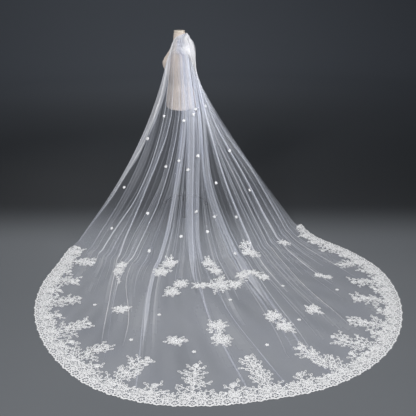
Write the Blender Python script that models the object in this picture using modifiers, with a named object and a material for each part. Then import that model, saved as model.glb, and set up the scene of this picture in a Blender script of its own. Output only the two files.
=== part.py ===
"""Cathedral bridal veil on a limbless dress form.

The form faces -X. The veil is pinned to a comb behind the neck, falls over the
near (-Y) shoulder and spreads over the floor towards -Y as a rounded train.
Metres, +Z up. Everything is modelled about the pole and hung on one empty,
which puts the middle of the whole footprint, on the floor, at the origin.
"""
import math

import bmesh
import bpy
from mathutils import Vector
from mathutils.bvhtree import BVHTree

# ---------------------------------------------------------------- sizes, metres
GAP = 0.0003            # clearance between touching pieces
SEAM = 0.0002           # each edge of a tulle stretch stands back this far
SEAM_ROW = 0.00080      # and at the level seams, whose walls lean together
TULLE_WALL = 0.0010
LACE_WALL = 0.0013
APPLIQUE_WALL = 0.0013
FLOWER_WALL = 0.0012
TULLE_INSET = 0.012     # the net stops this far inside the lace's outer edge
LACE_BAND = 0.105       # plain width of the edging

# dress form: a row for each section of the torso and neck
#        z      x_front  x_back  half_w  bust
FORM = (
    (0.903, -0.126, 0.086, 0.150, 0.000),
    (0.910, -0.137, 0.097, 0.161, 0.000),
    (0.930, -0.141, 0.103, 0.168, 0.000),
    (0.975, -0.140, 0.104, 0.171, 0.000),
    (1.030, -0.134, 0.090, 0.160, 0.000),
    (1.100, -0.122, 0.064, 0.134, 0.000),
    (1.150, -0.121, 0.060, 0.131, 0.007),
    (1.205, -0.122, 0.066, 0.139, 0.026),
    (1.245, -0.122, 0.074, 0.147, 0.042),
    (1.280, -0.120, 0.081, 0.153, 0.047),
    (1.315, -0.115, 0.086, 0.160, 0.030),
    (1.350, -0.108, 0.087, 0.167, 0.012),
    (1.385, -0.093, 0.083, 0.169, 0.003),
    (1.412, -0.082, 0.072, 0.160, 0.000),
    (1.432, -0.076, 0.060, 0.133, 0.000),
    (1.446, -0.074, 0.049, 0.098, 0.000),
    (1.457, -0.073, 0.038, 0.069, 0.000),
    (1.472, -0.073, 0.025, 0.053, 0.000),
    (1.495, -0.071, 0.018, 0.048, 0.000),
)
FORM_POINTS = 40        # round each section
BUST_Y, BUST_W = 0.072, 0.052
ARMHOLE_Y = 0.150       # the sides are cut flat here for the arm plates
CAP_TOP = 1.513
PLATE = dict(x=0.004, z=1.374, half_x=0.034, half_z=0.050, thick=0.006)
KNOB_R = 0.0065

POLE_R, HUB_R = 0.0125, 0.0240
POLE_TOP = 0.9027
HUB_LOW, HUB_HIGH = 0.070, 0.150
LEG_R, LEG_REACH = 0.0085, 0.210
PAD_R, PAD_H = 0.017, 0.016
LEG_TURNS = (30.0, 150.0, 270.0)

# comb behind the neck
NECK_X, COMB_RX, COMB_RY = -0.029, 0.0590, 0.0610
COMB_FROM, COMB_TO, COMB_Z = -62.0, 34.0, 1.486

# hem outline about its own centre: a row for each direction
HEM_CX, HEM_CY = 0.248, -1.424
#       degrees  radius
HEM = (
    (148.8, 1.262), (163.0, 1.176), (178.0, 1.160), (193.0, 1.160), (208.0, 1.166),
    (223.0, 1.186), (238.0, 1.214), (253.0, 1.206), (268.0, 1.174), (283.0, 1.156),
    (298.0, 1.178), (313.0, 1.193), (328.0, 1.197), (343.0, 1.192), (358.0, 1.190),
    (373.0, 1.188), (388.0, 1.156), (403.0, 1.134), (411.0, 1.196), (416.4, 1.300),
)

# veil guides from the front selvedge (u = 0) to the back selvedge (u = 1)
#     u     neck (x, y, z)            shoulder (x, y, z)        leave (x, y, z)           touch (x, y)      sag
GUIDES = (
    (0.00, (-0.056, -0.071, 1.458), (-0.094, -0.120, 1.384), (-0.140, -0.126, 1.188), (-0.822, -0.752), 0.158),
    (0.20, (-0.038, -0.084, 1.462), (-0.070, -0.155, 1.408), (-0.114, -0.178, 1.275), (-0.480, -0.960), 0.165),
    (0.40, (-0.012, -0.090, 1.460), (-0.030, -0.172, 1.411), (-0.050, -0.192, 1.330), (-0.130, -1.080), 0.170),
    (0.60, (0.024, -0.084, 1.459), (0.034, -0.171, 1.410), (0.038, -0.193, 1.330), (0.250, -1.040), 0.150),
    (0.80, (0.050, -0.050, 1.456), (0.082, -0.118, 1.392), (0.112, -0.141, 1.160), (0.640, -0.820), 0.095),
    (1.00, (0.056, 0.034, 1.448), (0.093, 0.044, 1.372), (0.129, 0.034, 1.086), (0.935, -0.372), 0.045),
)

# pleats: crest position across the veil, relative height, how far it runs on the train
#      u      height  run
PLEATS = (
    (0.000, 0.25, 0.10), (0.062, 0.90, 0.30), (0.128, 0.70, 0.45), (0.214, 1.10, 0.75),
    (0.270, 0.85, 0.60), (0.325, 0.70, 0.45), (0.385, 1.20, 0.90), (0.445, 0.65, 0.40),
    (0.503, 1.20, 0.90), (0.550, 1.00, 0.50), (0.605, 0.60, 0.40), (0.663, 1.20, 0.95),
    (0.703, 1.00, 0.75), (0.750, 1.05, 0.60), (0.818, 1.00, 0.90), (0.872, 1.00, 0.70),
    (0.935, 0.90, 0.55), (1.000, 0.25, 0.10),
)
# full pleat height at each row of the veil
#      row   height
PLEAT_HEIGHT = (
    (0.0, 0.0004), (1.0, 0.0026), (2.0, 0.0070), (3.0, 0.0100), (3.35, 0.0200),
    (3.65, 0.0240), (3.90, 0.0170), (4.0, 0.0140),
)

HANG = 1.5              # length of the hanging cloth, about
LANDING = 0.07          # height over which it rounds down onto the floor
FLAT_HEM = 0.30         # the last of the train lies flat, under the edging
FLAT_FADE = 0.20

# stretches of the hanging tulle and of the train end on these pleats
DRAPE_ENDS = (0, 3, 6, 9, 12, 15, 17)
TRAIN_ENDS = (0, 6, 12, 17)
GATHER_ROWS = (0.0, 0.5, 1.0, 1.6, 2.3, 3.0)
DRAPE_ROWS = (3.0, 3.14, 3.32, 3.53, 3.74, 3.89, 3.96, 4.0)
TRAIN_ROWS = (4.0, 4.12, 4.30, 4.52, 4.78, 5.0)

# leafy sprays of the edging: direction, reach from the outer edge, half width, lean (degrees)
#      degrees  reach  half_w  lean
SPRAYS = (
    (152.2, 0.120, 0.070, 0.0), (160.5, 0.270, 0.090, -3.0), (175.5, 0.236, 0.085, -1.0),
    (190.5, 0.285, 0.090, -1.0), (209.0, 0.301, 0.100, 1.0), (225.5, 0.290, 0.100, 2.0),
    (241.0, 0.350, 0.100, 3.5), (263.5, 0.335, 0.095, -1.0), (284.5, 0.369, 0.095, -2.5),
    (307.0, 0.361, 0.105, -3.0), (322.5, 0.316, 0.100, -3.5), (336.0, 0.303, 0.095, -3.0),
    (352.0, 0.293, 0.090, -1.5), (365.0, 0.268, 0.085, -1.0), (379.5, 0.234, 0.085, 0.0),
    (394.2, 0.170, 0.080, 0.0), (409.5, 0.110, 0.070, 0.0),
)
# low peaks between them
LOW_PEAKS = (
    (167.5, 0.145, 0.050), (182.5, 0.150, 0.050), (200.0, 0.160, 0.055), (217.5, 0.160, 0.055),
    (233.0, 0.155, 0.050), (252.5, 0.160, 0.060), (274.5, 0.165, 0.060), (294.8, 0.170, 0.060),
    (314.8, 0.160, 0.045), (329.3, 0.155, 0.045), (344.0, 0.155, 0.050), (358.6, 0.150, 0.045),
    (372.4, 0.145, 0.045), (386.8, 0.135, 0.045), (402.0, 0.125, 0.045),
)
LACE_ENDS = (149.3, 186.5, 233.0, 274.5, 314.8, 358.6, 415.6)

# large appliques on the train: name, centre (x, y), length, width, turn (degrees), lobes
APPLIQUES = (
    ("applique_01", (-0.415, -1.150), 0.190, 0.085, 78.0, 7),
    ("applique_02", (-0.095, -1.150), 0.270, 0.130, 68.0, 7),
    ("applique_03", (-0.010, -1.435), 0.235, 0.120, 75.0, 7),
    ("applique_04", (-0.341, -1.705), 0.120, 0.095, 5.0, 6),
    ("applique_05", (0.020, -2.046), 0.120, 0.100, -10.0, 6),
    ("applique_06", (0.222, -1.130), 0.245, 0.105, -67.0, 7),
    ("applique_07", (0.285, -1.375), 0.340, 0.200, 8.0, 9),
    ("applique_08", (0.513, -0.908), 0.190, 0.110, -40.0, 7),
    ("applique_09", (0.550, -1.250), 0.180, 0.095, -38.0, 7),
    ("applique_10", (0.783, -0.722), 0.115, 0.075, -55.0, 6),
    ("applique_11", (0.995, -1.270), 0.125, 0.060, -25.0, 6),
    ("applique_12", (0.854, -1.705), 0.125, 0.100, -70.0, 6),
    ("applique_13", (0.622, -1.840), 0.265, 0.125, -66.0, 7),
    ("applique_14", (0.265, -1.960), 0.280, 0.140, -75.0, 8),
)

# single flowers: name, across (u), down (row)
FLOWERS = (
    ("flower_01", 0.294, 3.202), ("flower_02", 0.783, 3.131), ("flower_03", 0.509, 3.238),
    ("flower_04", 0.138, 3.291), ("flower_05", 0.366, 3.433), ("flower_06", 0.522, 3.461),
    ("flower_07", 0.872, 3.382), ("flower_08", 0.072, 3.557), ("flower_09", 0.685, 3.538),
    ("flower_10", 0.873, 3.637), ("flower_11", 0.550, 3.687), ("flower_12", 0.735, 3.748),
    ("flower_13", 0.293, 3.690), ("flower_14", 0.122, 3.821), ("flower_15", 0.593, 3.803),
    ("flower_16", 0.474, 3.817), ("flower_17", 0.336, 3.909), ("flower_18", 0.680, 3.975),
)

# ---------------------------------------------------------------- scene
for old in list(bpy.data.objects):
    bpy.data.objects.remove(old, do_unlink=True)

parts = bpy.data.collections.new("bridal_veil_on_dress_form")
bpy.context.scene.collection.children.link(parts)

frame = bpy.data.objects.new("veil_frame", None)
parts.objects.link(frame)


def material(name, rgb, rough, metal=0.0, alpha=1.0):
    mat = bpy.data.materials.new(name)
    mat.use_nodes = True
    shader = mat.node_tree.nodes["Principled BSDF"]
    shader.inputs["Base Color"].default_value = (*rgb, 1.0)
    shader.inputs["Roughness"].default_value = rough
    shader.inputs["Metallic"].default_value = metal
    shader.inputs["Alpha"].default_value = alpha
    mat.diffuse_color = (*rgb, 1.0)
    return mat


def add(name, mesh, mat, smooth=True):
    """Put a mesh in the part's collection, on the frame, with its own material."""
    mesh.materials.clear()
    mesh.materials.append(mat)
    if smooth:
        mesh.shade_smooth()
        mesh.set_sharp_from_angle(angle=math.radians(35))
    obj = bpy.data.objects.new(name, mesh)
    parts.objects.link(obj)
    obj.parent = frame
    return obj


def mesh_of(bm, name):
    mesh = bpy.data.meshes.new(name)
    bm.to_mesh(mesh)
    bm.free()
    return mesh


# ---------------------------------------------------------------- curves through tables
def cubic(rows, column, at):
    """A smooth curve through a table's column, with the rows' first entry as the way along."""
    keys = [row[0] for row in rows]
    vals = [row[column] for row in rows]
    if at <= keys[0]:
        return vals[0]
    if at >= keys[-1]:
        return vals[-1]
    i = max(k for k in range(len(keys) - 1) if keys[k] <= at)

    def slope(k):
        if k == 0:
            return (vals[1] - vals[0]) / (keys[1] - keys[0])
        if k == len(keys) - 1:
            return (vals[-1] - vals[-2]) / (keys[-1] - keys[-2])
        return (vals[k + 1] - vals[k - 1]) / (keys[k + 1] - keys[k - 1])

    span = keys[i + 1] - keys[i]
    t = (at - keys[i]) / span
    a, b = slope(i) * span, slope(i + 1) * span
    return ((2 * t ** 3 - 3 * t ** 2 + 1) * vals[i] + (t ** 3 - 2 * t ** 2 + t) * a
            + (-2 * t ** 3 + 3 * t ** 2) * vals[i + 1] + (t ** 3 - t ** 2) * b)


def linear(rows, column, at):
    for low, high in zip(rows, rows[1:]):
        if at <= high[0]:
            t = max(0.0, (at - low[0]) / (high[0] - low[0]))
            return low[column] + (high[column] - low[column]) * t
    return rows[-1][column]


def guide(column, u):
    """A guide's point at u: each coordinate is a smooth curve across the veil."""
    size = len(GUIDES[0][column])
    flat = [(row[0], *row[column]) for row in GUIDES]
    return Vector([cubic(flat, 1 + k, u) for k in range(size)])


# ---------------------------------------------------------------- the veil's surface
HEM_FROM, HEM_TO = HEM[0][0], HEM[-1][0]


def hem_point(degrees, inset=0.0):
    r = cubic(HEM, 1, degrees) - inset
    a = math.radians(degrees)
    return Vector((HEM_CX + r * math.cos(a), HEM_CY + r * math.sin(a), 0.0))


def comb_point(u):
    a = math.radians(COMB_FROM + (COMB_TO - COMB_FROM) * u)
    return Vector((NECK_X + COMB_RX * math.cos(a), COMB_RY * math.sin(a),
                   COMB_Z + 0.006 * math.sin(math.pi * u)))


def base(u, row):
    """The veil without its pleats. Rows: 0 comb, 1 neck, 2 shoulder, 3 leaves the form,
    4 touches the floor, 5 hem."""
    neck, shoulder, leave, touch = (guide(k, u) for k in (1, 2, 3, 4))
    touch = Vector((touch.x, touch.y, 0.0))
    sag = cubic(GUIDES, 5, u)
    if row >= 4.0:      # along the floor, setting out the way the cloth comes down
        t = row - 4.0
        hem = hem_point(HEM_FROM + (HEM_TO - HEM_FROM) * (0.012 + 0.976 * u), TULLE_INSET)
        run = hem - touch
        way = Vector((touch.x - leave.x, touch.y - leave.y, 0.0)).normalized() * run.length * 0.9
        return (touch * (2 * t ** 3 - 3 * t ** 2 + 1) + way * (t ** 3 - 2 * t ** 2 + t)
                + hem * (-2 * t ** 3 + 3 * t ** 2) + run * (t ** 3 - t ** 2))
    if row >= 3.0:      # hanging: a chord with its sag, rounded down onto the floor
        t = row - 3.0
        at = leave.lerp(touch, t)
        round_off = LANDING * (0.4 + 0.6 * math.sin(math.pi * u))
        high = (leave.z + round_off / 2) * (1.0 - t) - sag * math.sin(math.pi * t ** 0.8)
        at.z = high - round_off / 2 if high > round_off else max(0.0, high) ** 2 / (2 * round_off)
        return at
    stops = [comb_point(u), neck, shoulder, leave]
    i = min(2, int(row))
    t = row - i
    drop = (touch - leave)
    drop.z = -leave.z - 3.2 * sag
    drop = drop.normalized() * (leave - shoulder).length
    ways = [(stops[1] - stops[0]) * 0.8, (stops[2] - stops[0]) * 0.5,
            (stops[3] - stops[1]) * 0.5, drop]
    at = (stops[i] * (2 * t ** 3 - 3 * t ** 2 + 1) + ways[i] * (t ** 3 - 2 * t ** 2 + t)
          + stops[i + 1] * (-2 * t ** 3 + 3 * t ** 2) + ways[i + 1] * (t ** 3 - t ** 2))
    if i == 0:          # round the neck, not through it
        axis = Vector((NECK_X, 0.0, 0.0))
        ends = [Vector((stop.x, stop.y, 0.0)) - axis for stop in stops[:2]]
        spoke = Vector((at.x, at.y, 0.0)) - axis
        least = ends[0].length + (ends[1].length - ends[0].length) * t
        if spoke.length < least:
            spoke *= least / spoke.length
            at.x, at.y = axis.x + spoke.x, spoke.y
    return at


def outward(u, row):
    """The side of the cloth that faces away from the form, and up on the floor."""
    if row >= 4.0:
        return Vector((0.0, 0.0, 1.0))
    step = 0.004
    across = base(min(1.0, u + step), row) - base(max(0.0, u - step), row)
    down = base(u, min(3.9999, row + step)) - base(u, max(0.0, row - step))
    normal = down.cross(across).normalized()
    if row > 3.8:       # the cloth comes down flat
        flat = (row - 3.8) / 0.2
        normal = normal.lerp(Vector((0.0, 0.0, 1.0)), flat).normalized()
    return normal


def pleat(u, row):
    """How far a pleat lifts the cloth: trapezoid waves of uneven height and spacing."""
    i = max(k for k in range(len(PLEATS) - 1) if PLEATS[k][0] <= u + 1e-9)
    low, high = PLEATS[i], PLEATS[i + 1]
    t = (u - low[0]) / (high[0] - low[0])
    wave = 0.5 + 0.5 * math.cos(2.0 * math.pi * t)
    near = low if t < 0.5 else high
    size = cubic(PLEAT_HEIGHT, 1, min(row, 4.0)) * near[1]
    length = (base(u, 5.0) - base(u, 4.0)).length
    if row > 4.0:
        gone = (row - 4.0) * length / near[2]
        size *= max(0.0, 1.0 - gone) ** 1.5
        to_hem = length * (5.0 - row)
    else:
        to_hem = length + (4.0 - row) * HANG
    size *= max(0.0, min(1.0, (to_hem - FLAT_HEM) / FLAT_FADE))
    return size * wave


def cloth(u, row, lift=0.0):
    return base(u, row) + outward(u, row) * (pleat(u, row) + lift)


def columns(first, last):
    """Across the veil from one pleat's crest to another's: each wave gets four columns,
    placed so that crests and valleys are flat."""
    us = [PLEATS[first][0]]
    for i in range(first, last):
        low, high = PLEATS[i][0], PLEATS[i + 1][0]
        us += [low + (high - low) * t for t in (0.125, 0.375, 0.625, 0.875)]
    return us + [PLEATS[last][0]]


def stretch(name, us, rows, mat, lift=0.0, wall=TULLE_WALL):
    """One stretch of cloth as an open sheet that Solidify makes a wall."""
    grid = [[cloth(u, row, lift) for u in us] for row in rows]
    # stand back from the neighbouring stretches
    for line in grid:
        line[0] += (line[1] - line[0]).normalized() * SEAM
        line[-1] += (line[-2] - line[-1]).normalized() * SEAM
    for j in range(len(us)):
        grid[0][j] = grid[0][j] + (grid[1][j] - grid[0][j]).normalized() * SEAM_ROW
        grid[-1][j] = grid[-1][j] + (grid[-2][j] - grid[-1][j]).normalized() * SEAM_ROW
    bm = bmesh.new()
    verts = [[bm.verts.new(p) for p in line] for line in grid]
    for i in range(len(rows) - 1):
        for j in range(len(us) - 1):
            bm.faces.new((verts[i][j], verts[i + 1][j], verts[i + 1][j + 1], verts[i][j + 1]))
    obj = add(name, mesh_of(bm, name), mat)
    solid = obj.modifiers.new("wall", "SOLIDIFY")
    solid.thickness = wall
    solid.offset = 1.0
    solid.use_rim = True
    return obj


tulle = material("tulle", (0.92, 0.92, 0.94), 0.60, alpha=0.35)
tulle_objects = [stretch("tulle_gather", columns(0, len(PLEATS) - 1), GATHER_ROWS, tulle)]
for k, (a, b) in enumerate(zip(DRAPE_ENDS, DRAPE_ENDS[1:]), start=1):
    tulle_objects.append(stretch(f"tulle_drape_{k}", columns(a, b), DRAPE_ROWS, tulle))
for word, a, b in zip(("left", "front", "right"), TRAIN_ENDS, TRAIN_ENDS[1:]):
    tulle_objects.append(stretch(f"tulle_train_{word}", columns(a, b), TRAIN_ROWS, tulle))

# the front selvedge is turned back on itself
turn_us = [u for u in columns(0, 1)][:5]
turnback = stretch("tulle_turnback", turn_us, DRAPE_ROWS[:-1], tulle, lift=TULLE_WALL + 2 * GAP)
tulle_objects.append(turnback)


def surface_of(objects):
    """One search tree of the finished walls."""
    graph = bpy.context.evaluated_depsgraph_get()
    points, faces = [], []
    for obj in objects:
        mesh = obj.evaluated_get(graph).to_mesh()
        mesh.calc_loop_triangles()
        start = len(points)
        points += [v.co.copy() for v in mesh.vertices]
        faces += [[start + i for i in tri.vertices] for tri in mesh.loop_triangles]
        obj.evaluated_get(graph).to_mesh_clear()
    return BVHTree.FromPolygons(points, faces)


walls = surface_of(tulle_objects)
DOWN = Vector((0.0, 0.0, -1.0))


def cloth_top(x, y):
    """Top of the cloth on the floor at a point."""
    hit, _, _, _ = walls.ray_cast(Vector((x, y, 0.30)), DOWN)
    return max(hit.z, TULLE_WALL) if hit is not None else TULLE_WALL


def settle(bm):
    """Lay a flat piece on the cloth: its points are the cloth's, moved out, and a
    face that a pleat would cut is lifted clear of it."""
    bmesh.ops.triangulate(bm, faces=bm.faces[:])
    for v in bm.verts:
        v.co.z = cloth_top(v.co.x, v.co.y) + GAP
    for _ in range(8):
        lifts = {}
        for face in bm.faces:
            a, b, c = (v.co for v in face.verts)
            worst = 0.0
            n = max(2, int((max((a - b).length, (b - c).length, (c - a).length)) / 0.003))
            for i in range(n + 1):
                for j in range(n + 1 - i):
                    p = a + (b - a) * (i / n) + (c - a) * (j / n)
                    worst = max(worst, cloth_top(p.x, p.y) + GAP - p.z)
            if worst > 1e-5:
                for v in face.verts:
                    lifts[v] = max(lifts.get(v, 0.0), worst + 0.0003)
        if not lifts:
            break
        for v, up in lifts.items():
            v.co.z += up


# ---------------------------------------------------------------- lace edging
lace = material("lace", (0.94, 0.94, 0.95), 0.70)


def edging_reach(degrees):
    """Width of the edging and its lean at a direction: the band, or the tallest spray there."""
    radius = cubic(HEM, 1, degrees)
    best, lean = LACE_BAND, 0.0
    for row in SPRAYS + LOW_PEAKS:
        off = abs(math.radians(degrees - row[0])) * radius / row[2]
        if off < 1.0:
            reach = LACE_BAND + (row[1] - LACE_BAND) * (1.0 - off) ** 0.85
            if reach > best:
                best = reach
                lean = (row[3] if len(row) > 3 else 0.0) * (1.0 - off)
    return best, lean


def edging_columns(start, end):
    """Directions that carry the outline: each spray's foot, shoulders and tip."""
    marks = {start, end}
    for row in SPRAYS + LOW_PEAKS:
        half = math.degrees(row[2] / cubic(HEM, 1, row[0]))
        for f in (-1.0, -0.45, 0.0, 0.45, 1.0):
            marks.add(row[0] + half * f)
    marks = sorted(m for m in marks if start - 1e-6 <= m <= end + 1e-6)
    kept = [marks[0]]
    for m in marks[1:]:
        if m - kept[-1] > 0.7:
            kept.append(m)
    kept[-1] = end
    return kept


for k, (start, end) in enumerate(zip(LACE_ENDS, LACE_ENDS[1:]), start=1):
    back_off = math.degrees(SEAM / 1.18)
    marks = edging_columns(start, end)
    marks[0] += back_off
    marks[-1] -= back_off
    # at the two lower corners the cloth is still coming down under the edging
    lace_rows = [0.0, 0.6 * LACE_BAND, LACE_BAND] if k in (1, len(LACE_ENDS) - 1) else [0.0, LACE_BAND]
    plain = len(lace_rows)
    bm = bmesh.new()
    lines = []
    for m in marks:
        reach, lean = edging_reach(m)
        depths = lace_rows + ([reach] if reach > LACE_BAND + 0.012 else [])
        line = []
        for d in depths:
            extra = max(0.0, d - LACE_BAND) / max(reach - LACE_BAND, 1e-6)
            p = hem_point(m + lean * extra, d)
            line.append(p)
        lines.append(line)
    rings = [[bm.verts.new((p.x, p.y, 0.0)) for p in line] for line in lines]
    for a, b in zip(rings, rings[1:]):
        for i in range(plain - 1):
            bm.faces.new((a[i], b[i], b[i + 1], a[i + 1]))
        if len(a) > plain and len(b) > plain:
            bm.faces.new((a[-2], b[-2], b[-1], a[-1]))
        elif len(a) > plain:
            bm.faces.new((a[-2], b[-1], a[-1]))
        elif len(b) > plain:
            bm.faces.new((a[-1], b[-2], b[-1]))
    settle(bm)
    obj = add(f"lace_hem_{k}", mesh_of(bm, f"lace_hem_{k}"), lace)
    solid = obj.modifiers.new("wall", "SOLIDIFY")
    solid.thickness = LACE_WALL
    solid.offset = 1.0

# ---------------------------------------------------------------- appliques and flowers
applique_mat = material("applique", (0.95, 0.95, 0.96), 0.70)
edging = surface_of([o for o in parts.objects if o.name.startswith("lace_hem")])


def leafy(length, width, lobes):
    """Outline of a spray: long oval whose edge runs out into pointed leaves."""
    points = []
    for k in range(lobes * 2):
        a = math.pi * k / lobes
        f = 1.0 if k % 2 == 0 else 0.70
        points.append((0.5 * length * math.cos(a) * f, 0.5 * width * math.sin(a) * f))
    return points


for name, (cx, cy), length, width, turn, lobes in APPLIQUES:
    ca, sa = math.cos(math.radians(turn)), math.sin(math.radians(turn))
    outer = [(cx + x * ca - y * sa, cy + x * sa + y * ca) for x, y in leafy(length, width, lobes)]
    inner = [(cx + (x - cx) * 0.5, cy + (y - cy) * 0.5) for x, y in outer]
    heights = [cloth_top(x, y) for x, y in outer + inner + [(cx, cy)]]
    bm = bmesh.new()
    ring_o = [bm.verts.new((x, y, 0.0)) for x, y in outer]
    mid = bm.verts.new((cx, cy, 0.0))
    n = len(outer)
    if max(heights) - min(heights) > 0.001:     # it crosses pleats: a ring more to follow them
        ring_i = [bm.verts.new((x, y, 0.0)) for x, y in inner]
        for k in range(n):
            j = (k + 1) % n
            bm.faces.new((ring_o[k], ring_o[j], ring_i[j], ring_i[k]))
    else:
        ring_i = ring_o
    for k in range(n):
        bm.faces.new((ring_i[k], ring_i[(k + 1) % n], mid))
    settle(bm)
    obj = add(name, mesh_of(bm, name), applique_mat)
    solid = obj.modifiers.new("wall", "SOLIDIFY")
    solid.thickness = APPLIQUE_WALL
    solid.offset = 1.0

flower_mat = material("flower", (0.96, 0.96, 0.97), 0.65)
FLOWER_R = 0.0125
for name, u, row in FLOWERS:
    centre, normal = cloth(u, row), outward(u, row)
    hit, face_normal, _, _ = walls.ray_cast(centre + normal * 0.05, -normal)
    if hit is not None:
        centre = hit
        normal = face_normal if face_normal.dot(normal) > 0 else -face_normal
    side = normal.orthogonal().normalized()
    up = normal.cross(side)
    outline = []
    for k in range(8):
        a = 2 * math.pi * k / 8
        r = FLOWER_R * (1.0 if k % 2 == 0 else 0.70)
        outline.append(centre + side * (r * math.cos(a)) + up * (r * math.sin(a)))
    # flat, and clear of every facet under it
    lift = 0.0
    for ring_no in range(10):
        for k in range(30):
            a = 2 * math.pi * k / 30
            r = (FLOWER_R + 0.0005) * ring_no / 9
            p = centre + side * (r * math.cos(a)) + up * (r * math.sin(a))
            hit, _, _, _ = walls.ray_cast(p + normal * 0.04, -normal)
            if hit is not None:
                lift = max(lift, (hit - p).dot(normal))
    lift += 1.5 * GAP
    bm = bmesh.new()
    ring = [bm.verts.new(p + normal * lift) for p in outline]
    mid = bm.verts.new(centre + normal * lift)
    for k in range(8):
        bm.faces.new((ring[k], ring[(k + 1) % 8], mid))
    bm.normal_update()
    if sum((f.normal for f in bm.faces), Vector()).dot(normal) < 0:
        bmesh.ops.reverse_faces(bm, faces=bm.faces[:])
    obj = add(name, mesh_of(bm, name), flower_mat, smooth=False)
    solid = obj.modifiers.new("wall", "SOLIDIFY")
    solid.thickness = FLOWER_WALL
    solid.offset = 1.0

# ---------------------------------------------------------------- dress form
linen = material("form_cover", (0.80, 0.74, 0.63), 0.80)
cap_mat = material("form_cap", (0.86, 0.81, 0.70), 0.45)
knob_mat = material("form_knob", (0.05, 0.045, 0.045), 0.40)
metal = material("form_stand", (0.03, 0.03, 0.032), 0.38, 0.6)


def form_ring(z):
    """One section of the form: a rounded oval, fuller in front at the bust, flat at the armholes."""
    front, back, half, bust = (cubic(FORM, k, z) for k in (1, 2, 3, 4))
    ring = []
    for k in range(FORM_POINTS):
        a = 2 * math.pi * k / FORM_POINTS
        ca, sa = math.cos(a), math.sin(a)
        squash = 2.0 / 2.25
        x = (front + back) / 2 + (back - front) / 2 * math.copysign(abs(ca) ** squash, ca)
        y = math.copysign(abs(sa) ** squash, sa) * half
        if ca < 0:
            x -= bust * (math.exp(-((y - BUST_Y) / BUST_W) ** 2) + math.exp(-((y + BUST_Y) / BUST_W) ** 2)) * min(1.0, -ca * 1.6)
        y = max(-ARMHOLE_Y, min(ARMHOLE_Y, y))
        ring.append(Vector((x, y, z)))
    return ring


bm = bmesh.new()
rings = [[bm.verts.new(p) for p in form_ring(row[0])] for row in FORM]
for a, b in zip(rings, rings[1:]):
    for k in range(FORM_POINTS):
        j = (k + 1) % FORM_POINTS
        bm.faces.new((a[k], a[j], b[j], b[k]))
bm.faces.new(rings[-1])
bm.faces.new(list(reversed(rings[0])))
add("form_torso", mesh_of(bm, "form_torso"), linen)

# neck cap: the top section carried up as a low block
top = FORM[-1]
cap_x, cap_rx, cap_ry = (top[1] + top[2]) / 2, (top[2] - top[1]) / 2 - 0.001, top[3] - 0.001
bm = bmesh.new()
bmesh.ops.create_cone(bm, cap_ends=True, segments=36, radius1=1.0, radius2=1.0, depth=CAP_TOP - top[0] - GAP)
for v in bm.verts:
    v.co = Vector((cap_x + v.co.x * cap_rx, v.co.y * cap_ry, v.co.z + (CAP_TOP + top[0] + GAP) / 2))
cap = add("form_neck_cap", mesh_of(bm, "form_neck_cap"), cap_mat)
edge = cap.modifiers.new("edge", "BEVEL")
edge.width = 0.003
edge.segments = 1
edge.limit_method = "ANGLE"

for word, side in (("near", -1.0), ("far", 1.0)):
    bm = bmesh.new()
    bmesh.ops.create_cone(bm, cap_ends=True, segments=32, radius1=1.0, radius2=1.0, depth=PLATE["thick"])
    for v in bm.verts:
        v.co = Vector((PLATE["x"] + v.co.x * PLATE["half_x"],
                       side * (ARMHOLE_Y + GAP + PLATE["thick"] / 2) - v.co.z,
                       PLATE["z"] + v.co.y * PLATE["half_z"]))
    plate = add(f"form_arm_plate_{word}", mesh_of(bm, f"form_arm_plate_{word}"), linen)
    edge = plate.modifiers.new("edge", "BEVEL")
    edge.width = 0.0015
    edge.segments = 2
    edge.limit_method = "ANGLE"
    bm = bmesh.new()
    bmesh.ops.create_uvsphere(bm, u_segments=16, v_segments=8, radius=KNOB_R)
    for v in bm.verts:
        v.co = Vector((PLATE["x"] + 0.012 + v.co.x,
                       side * (ARMHOLE_Y + 2 * GAP + PLATE["thick"] + KNOB_R * 0.7) + v.co.y * 0.7,
                       PLATE["z"] + 0.012 + v.co.z))
    add(f"form_arm_knob_{word}", mesh_of(bm, f"form_arm_knob_{word}"), knob_mat)

# pole with the hub of the tripod, turned
bm = bmesh.new()
profile = ((0.0, POLE_TOP), (POLE_R, POLE_TOP), (POLE_R, HUB_HIGH + 0.012), (HUB_R * 0.8, HUB_HIGH),
           (HUB_R, HUB_HIGH - 0.012), (HUB_R, HUB_LOW + 0.008), (HUB_R * 0.75, HUB_LOW), (0.0, HUB_LOW))
line = [bm.verts.new((r, 0.0, z)) for r, z in profile]
for a, b in zip(line, line[1:]):
    bm.edges.new((a, b))
pole = add("form_pole", mesh_of(bm, "form_pole"), metal)
turn = pole.modifiers.new("turn", "SCREW")
turn.steps = turn.render_steps = 24
turn.use_merge_vertices = True
turn.merge_threshold = 0.0001

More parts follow.
